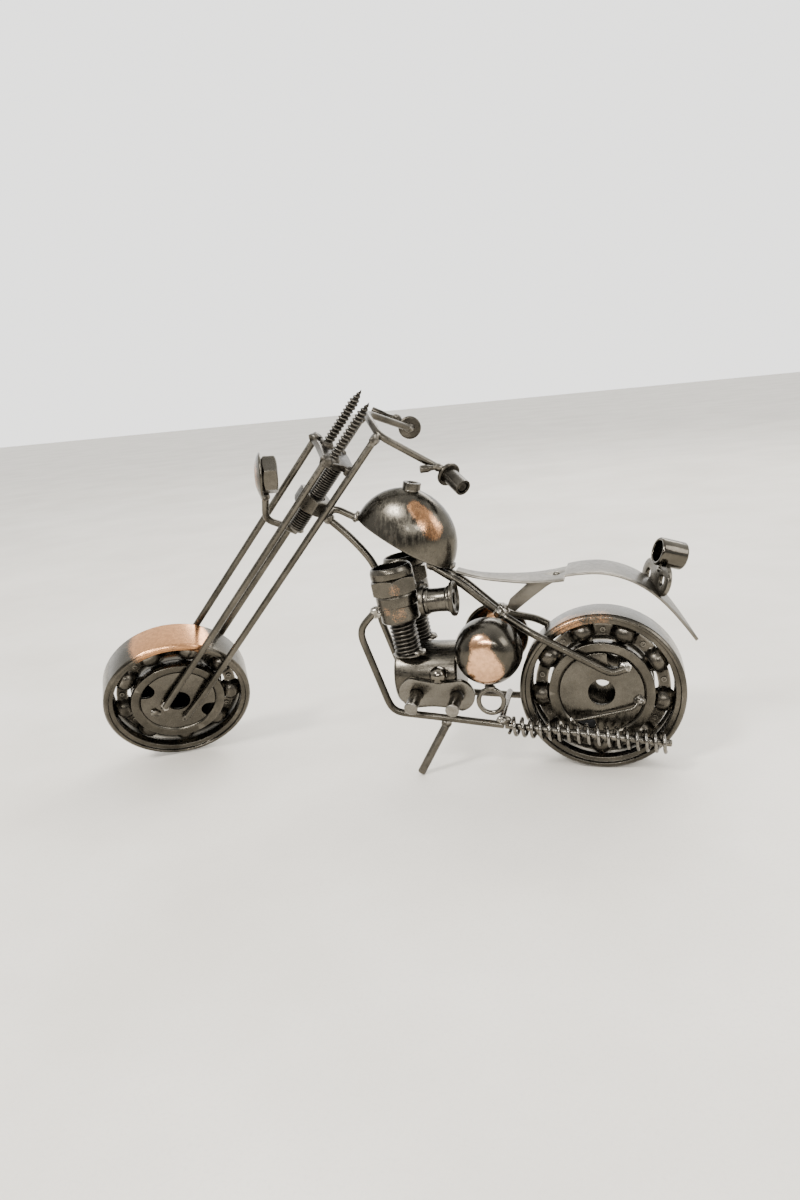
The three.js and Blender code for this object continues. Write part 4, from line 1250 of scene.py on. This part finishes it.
def weld(point, size, space=BIKE, body="frame", aim=(0, 0, 1), metal=None, rough=0.28):
    """Bead of weld metal at a joint; the last number of `size` runs along `aim`."""
    global welds
    welds += 1
    metal = metal or dark_weld
    slot = "bright_steel" if metal is raw_weld else "dark_steel"
    build(f"weld_{welds:02d}", bead(size, 20 + welds, rough), facing(space, point, aim), body,
          slot, metal)


def tips(node):
    """First and last point of a rod with the directions in which they end."""
    line = lines[node]
    return ((line[0], (line[0] - line[1]).normalized()),
            (line[-1], (line[-1] - line[-2]).normalized()))


def lowest(node):
    return min(tips(node), key=lambda tip: tip[0].z)


def highest(node):
    return max(tips(node), key=lambda tip: tip[0].z)


for side, s in (("near", 1), ("far", -1)):
    for pair in ("front", "rear"):
        foot, aim = lowest(f"fork_rod_{side}_{pair}")
        weld(foot + Vector((0, s * 0.6, 0)), (2.0, 1.5, 2.2), FORK, "fork", aim,
             dark_weld if pair == "rear" else raw_weld)
    foot, aim = lowest(f"fork_rod_{side}_front")
    if s > 0:
        weld(foot + Vector((-1.6, 0.9, -5.2)), (2.3, 1.0, 1.6), FORK, "fork", (0, 0, 1), dark_weld)
    top, aim = highest(f"fork_rod_{side}_rear")
    weld(top + Vector((0, 0, 0.6)), (1.9, 2.0, 2.6), FORK, "fork", (0, 0, 1), dark_weld)

for side in ("near", "far"):
    bar_end = min(tips("handlebar"), key=lambda tip: (tip[0] - middle(f"grip_{side}", FORK)).length)
    weld(bar_end[0], (1.9, 1.9, 2.2), FORK, "fork", bar_end[1], dark_weld)
    root = lines[f"lever_{side}"][0]
    weld(root, (1.5, 1.5, 2.2), FORK, "fork", (1, 0, 0), dark_weld)

foot = min(tips("headlight_bracket"), key=lambda tip: tip[0].x * -1)
weld(Vector((0.4, 0, foot[0].z + 1.2)), (3.2, 2.6, 1.5), FORK, "fork", (0, 0, 1), dark_weld)
top, aim = highest("headlight_bracket")
weld(top + aim * 0.4, (1.9, 2.1, 1.9), FORK, "fork", aim, dark_weld)

for tip, aim in tips("head_link"):
    weld(tip + aim * 0.2, (1.9, 1.9, 1.7), aim=aim, metal=dark_weld)
top, aim = highest("downtube")
weld(top + aim * 0.4, (2.2, 2.2, 2.0), aim=aim, metal=dark_weld)
foot, aim = lowest("downtube")
weld(foot, (2.3, 2.1, 2.6), aim=aim, metal=dark_weld)

cup_low, cup_high = span("drive_cup_near", BIKE)
knot = min(lines["frame_rod_near"], key=lambda p: abs(p.x - (cup_low.x + cup_high.x) / 2 - 3.4))
weld(knot + Vector((0.3, -1.6, 0.2)), (1.9, 2.0, 2.3), metal=raw_weld, rough=0.4)
weld(knot + Vector((1.6, 1.8, 1.0)), (2.6, 2.6, 1.7), aim=(0.8, 0, 0.6), metal=raw_weld, rough=0.35)
weld(knot + Vector((-0.6, 4.4, 0.4)), (1.8, 2.0, 1.9), metal=dark_weld)
for side, s in (("near", -1), ("far", 1)):
    line = lines[f"frame_rod_{side}"]
    rear = max((line[0], line[-1]), key=lambda p: p.x)
    weld(rear + Vector((-0.3, -s * 0.5, 0.2)), (2.3, 1.4, 2.3), metal=raw_weld, rough=0.3)
    head = min((line[0], line[-1]), key=lambda p: p.x)
    weld(head, (1.9, 1.9, 2.0), metal=dark_weld)
    bar = lines[f"crash_bar_{side}"]
    collar = max((bar[0], bar[-1]), key=lambda p: p.z)
    weld(collar + Vector((0.9, -s * 0.3, 0.3)), (2.5, 1.9, 2.3),
         metal=raw_weld if s < 0 else dark_weld)

line = lines["exhaust_hanger"]
high_end = max((line[0], line[-1]), key=lambda p: p.x)
low_end = min((line[0], line[-1]), key=lambda p: p.x)
weld(high_end + Vector((0.2, 0.2, 0)), (2.2, 1.1, 2.0), metal=dark_weld)
weld(high_end + Vector((0.3, -0.7, 0.3)), (1.1, 1.0, 1.1), metal=raw_weld, rough=0.35)
weld(low_end, (1.1, 1.1, 1.1), metal=raw_weld)
rail_end = min(lines["cross_rod"], key=lambda p: p.y)
weld(rail_end + Vector((0, 0.2, 0)), (1.7, 1.4, 1.7), aim=(0, 1, 0), metal=raw_weld, rough=0.35)
weld(rail_end + Vector((1.0, 1.6, -1.0)), (2.4, 1.9, 1.9), metal=dark_weld)
ring_low, ring_high = span("lower_ring", BIKE)
weld(Vector(((ring_low.x + ring_high.x) / 2, (ring_low.y + ring_high.y) / 2, ring_high.z)),
     (2.2, 1.5, 1.3), metal=dark_weld)
weld(stand[0] + Vector((0, 0.4, 0.6)), (2.0, 1.9, 2.0), metal=dark_weld)

nose = TANK @ Vector((0.6, 0, 0.6))
weld(BIKE.inverted() @ nose, (2.2, 1.8, 1.5), aim=(1, 0, 0.4), metal=dark_weld)
tail_end = TANK @ Vector((TANK_LENGTH - 0.8, 0, 0.6))
weld(BIKE.inverted() @ tail_end + Vector((0.6, 0, -0.2)), (1.5, 3.4, 1.2), metal=dark_weld)
cap_foot = cap @ Vector((0, 0, span("tank_cap", cap)[0].z + 0.6))
weld(BIKE.inverted() @ cap_foot, (3.7, 3.7, 0.9), aim=CAP_AIM, metal=dark_weld, rough=0.12)
lamp_low, lamp_high = span("tail_light", TAIL)
lamp_mid = (lamp_low + lamp_high) / 2
weld(Vector((lamp_mid.x - 2.2, lamp_mid.y - 0.4, lamp_low.z - 0.2)), (1.8, 2.0, 1.5), TAIL,
     metal=raw_weld, rough=0.35)
bracket_low, bracket_high = span("tail_bracket", TAIL)
weld(Vector(((bracket_low.x + bracket_high.x) / 2, (bracket_low.y + bracket_high.y) / 2,
             bracket_low.z + 0.4)), (1.5, 3.8, 1.2), TAIL, metal=dark_weld)
spool_low, spool_high = span("air_flange_front", BIKE)
weld(Vector((spool_low.x + 0.4, spool_high.y - 2.2, spool_high.z - 1.6)), (2.2, 2.6, 2.4),
     metal=dark_weld)
for side, s in (("near", -1), ("far", 1)):
    low, high = span(f"cylinder_stud_{side}", LEANING)
    foot_mid = Vector(((low.x + high.x) / 2, (low.y + high.y) / 2, low.z + 0.4))
    base = BIKE.inverted() @ (LEANING @ foot_mid)
    weld(base + Vector((4.8, 1.0 * s, 0.2)), (2.4, 2.6, 1.5), metal=dark_weld)
    weld(base + Vector((0, 0, -0.6)), (5.9, 5.6, 1.1), metal=dark_weld, rough=0.15)

# ---- stage ----

scene = bpy.context.scene
visual_low, visual_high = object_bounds()

floor_mesh = bpy.data.meshes.new("floor")
reach = 4.0
floor_mesh.from_pydata([(-reach, -reach, 0), (reach, -reach, 0), (reach, reach, 0),
                        (-reach, reach, 0)], [], [(0, 1, 2, 3)])
floor = bpy.data.objects.new("floor", floor_mesh)
scene.collection.objects.link(floor)
floor.location.z = min(0.0, visual_low.z) - 0.00002
n = Nodes("pale_floor")
stone = n.ramp(n.noise(9, 6, 0.6), (0.35, (0.70, 0.665, 0.60)), (0.65, (0.80, 0.765, 0.70)))
stone = n.mix(n.spread(n.noise(900, 3, 0.6), 0.45, 0.75, 0.0, 0.25), stone, (0.60, 0.57, 0.515))
n.link(stone, n.shader.inputs["Base Color"])
n.shader.inputs["Roughness"].default_value = 0.62
grit = n.new("ShaderNodeBump", Strength=0.15, Distance=0.0002)
n.link(n.noise(1200, 4, 0.6), grit.inputs["Height"])
n.link(grit.outputs[0], n.shader.inputs["Normal"])
floor_mesh.materials.append(n.material)

world = bpy.data.worlds.new("studio")
scene.world = world
world.use_nodes = True
tree = world.node_tree
tree.nodes.clear()
coord = tree.nodes.new("ShaderNodeTexCoord")
split = tree.nodes.new("ShaderNodeSeparateXYZ")
tree.links.new(coord.outputs["Generated"], split.inputs[0])
ramp = tree.nodes.new("ShaderNodeMapRange")
ramp.inputs["From Min"].default_value = -1.0
ramp.inputs["From Max"].default_value = 0.6
ramp.inputs["To Min"].default_value = 0.12
ramp.inputs["To Max"].default_value = 2.5
tree.links.new(split.outputs["Y"], ramp.inputs["Value"])
back = tree.nodes.new("ShaderNodeBackground")
back.inputs["Color"].default_value = (0.93, 0.925, 0.905, 1)
tree.links.new(ramp.outputs[0], back.inputs["Strength"])
out = tree.nodes.new("ShaderNodeOutputWorld")
tree.links.new(back.outputs[0], out.inputs[0])

heart = (visual_low + visual_high) / 2


def softbox(name, place, width, height, power):
    """Rectangular studio light aimed at the middle of the object."""
    data = bpy.data.lights.new(name, "AREA")
    data.shape = "RECTANGLE"
    data.size, data.size_y, data.energy = width, height, power
    data.color = (1.0, 0.97, 0.93)
    lamp_obj = bpy.data.objects.new(name, data)
    scene.collection.objects.link(lamp_obj)
    lamp_obj.location = heart + Vector(place)
    lamp_obj.rotation_mode = "QUATERNION"
    lamp_obj.rotation_quaternion = Vector(place).to_track_quat("Z", "Y")
    lamp_obj.visible_camera = False


softbox("key", (-0.45, -0.75, 0.85), 0.24, 0.24, 15)
softbox("strip", (0.10, -0.95, 0.42), 0.7, 0.06, 6)
softbox("fill", (0.95, -0.35, 0.55), 0.5, 0.5, 5)
softbox("rim", (0.25, 0.9, 0.8), 0.9, 0.4, 10)

# ---- camera ----

FOCAL = 26.01                  # on a 36 film back along the long side
YAW, PITCH_DOWN, ROLL = 0.278254, 0.248928, 0.104450
STANDPOINT = Vector((0.014863, -0.320167, 0.152105))   # from the rear axle's ground point
ahead = Vector((-math.sin(YAW) * math.cos(PITCH_DOWN), math.cos(YAW) * math.cos(PITCH_DOWN),
                -math.sin(PITCH_DOWN)))
right = Vector((math.cos(YAW), math.sin(YAW), 0))
down = ahead.cross(right)
c, s = math.cos(ROLL), math.sin(ROLL)
right, down = right * c + down * s, down * c - right * s
data = bpy.data.cameras.new("camera")
data.lens = FOCAL
data.sensor_width = 36
data.clip_start, data.clip_end = 0.01, 50
camera = bpy.data.objects.new("camera", data)
scene.collection.objects.link(camera)
camera.matrix_world = Matrix.Translation(
    STANDPOINT + Vector((REAR_HUB.x, REAR_HUB.y, 0))) @ Matrix(
    (right, -down, -ahead)).transposed().to_4x4()
scene.camera = camera
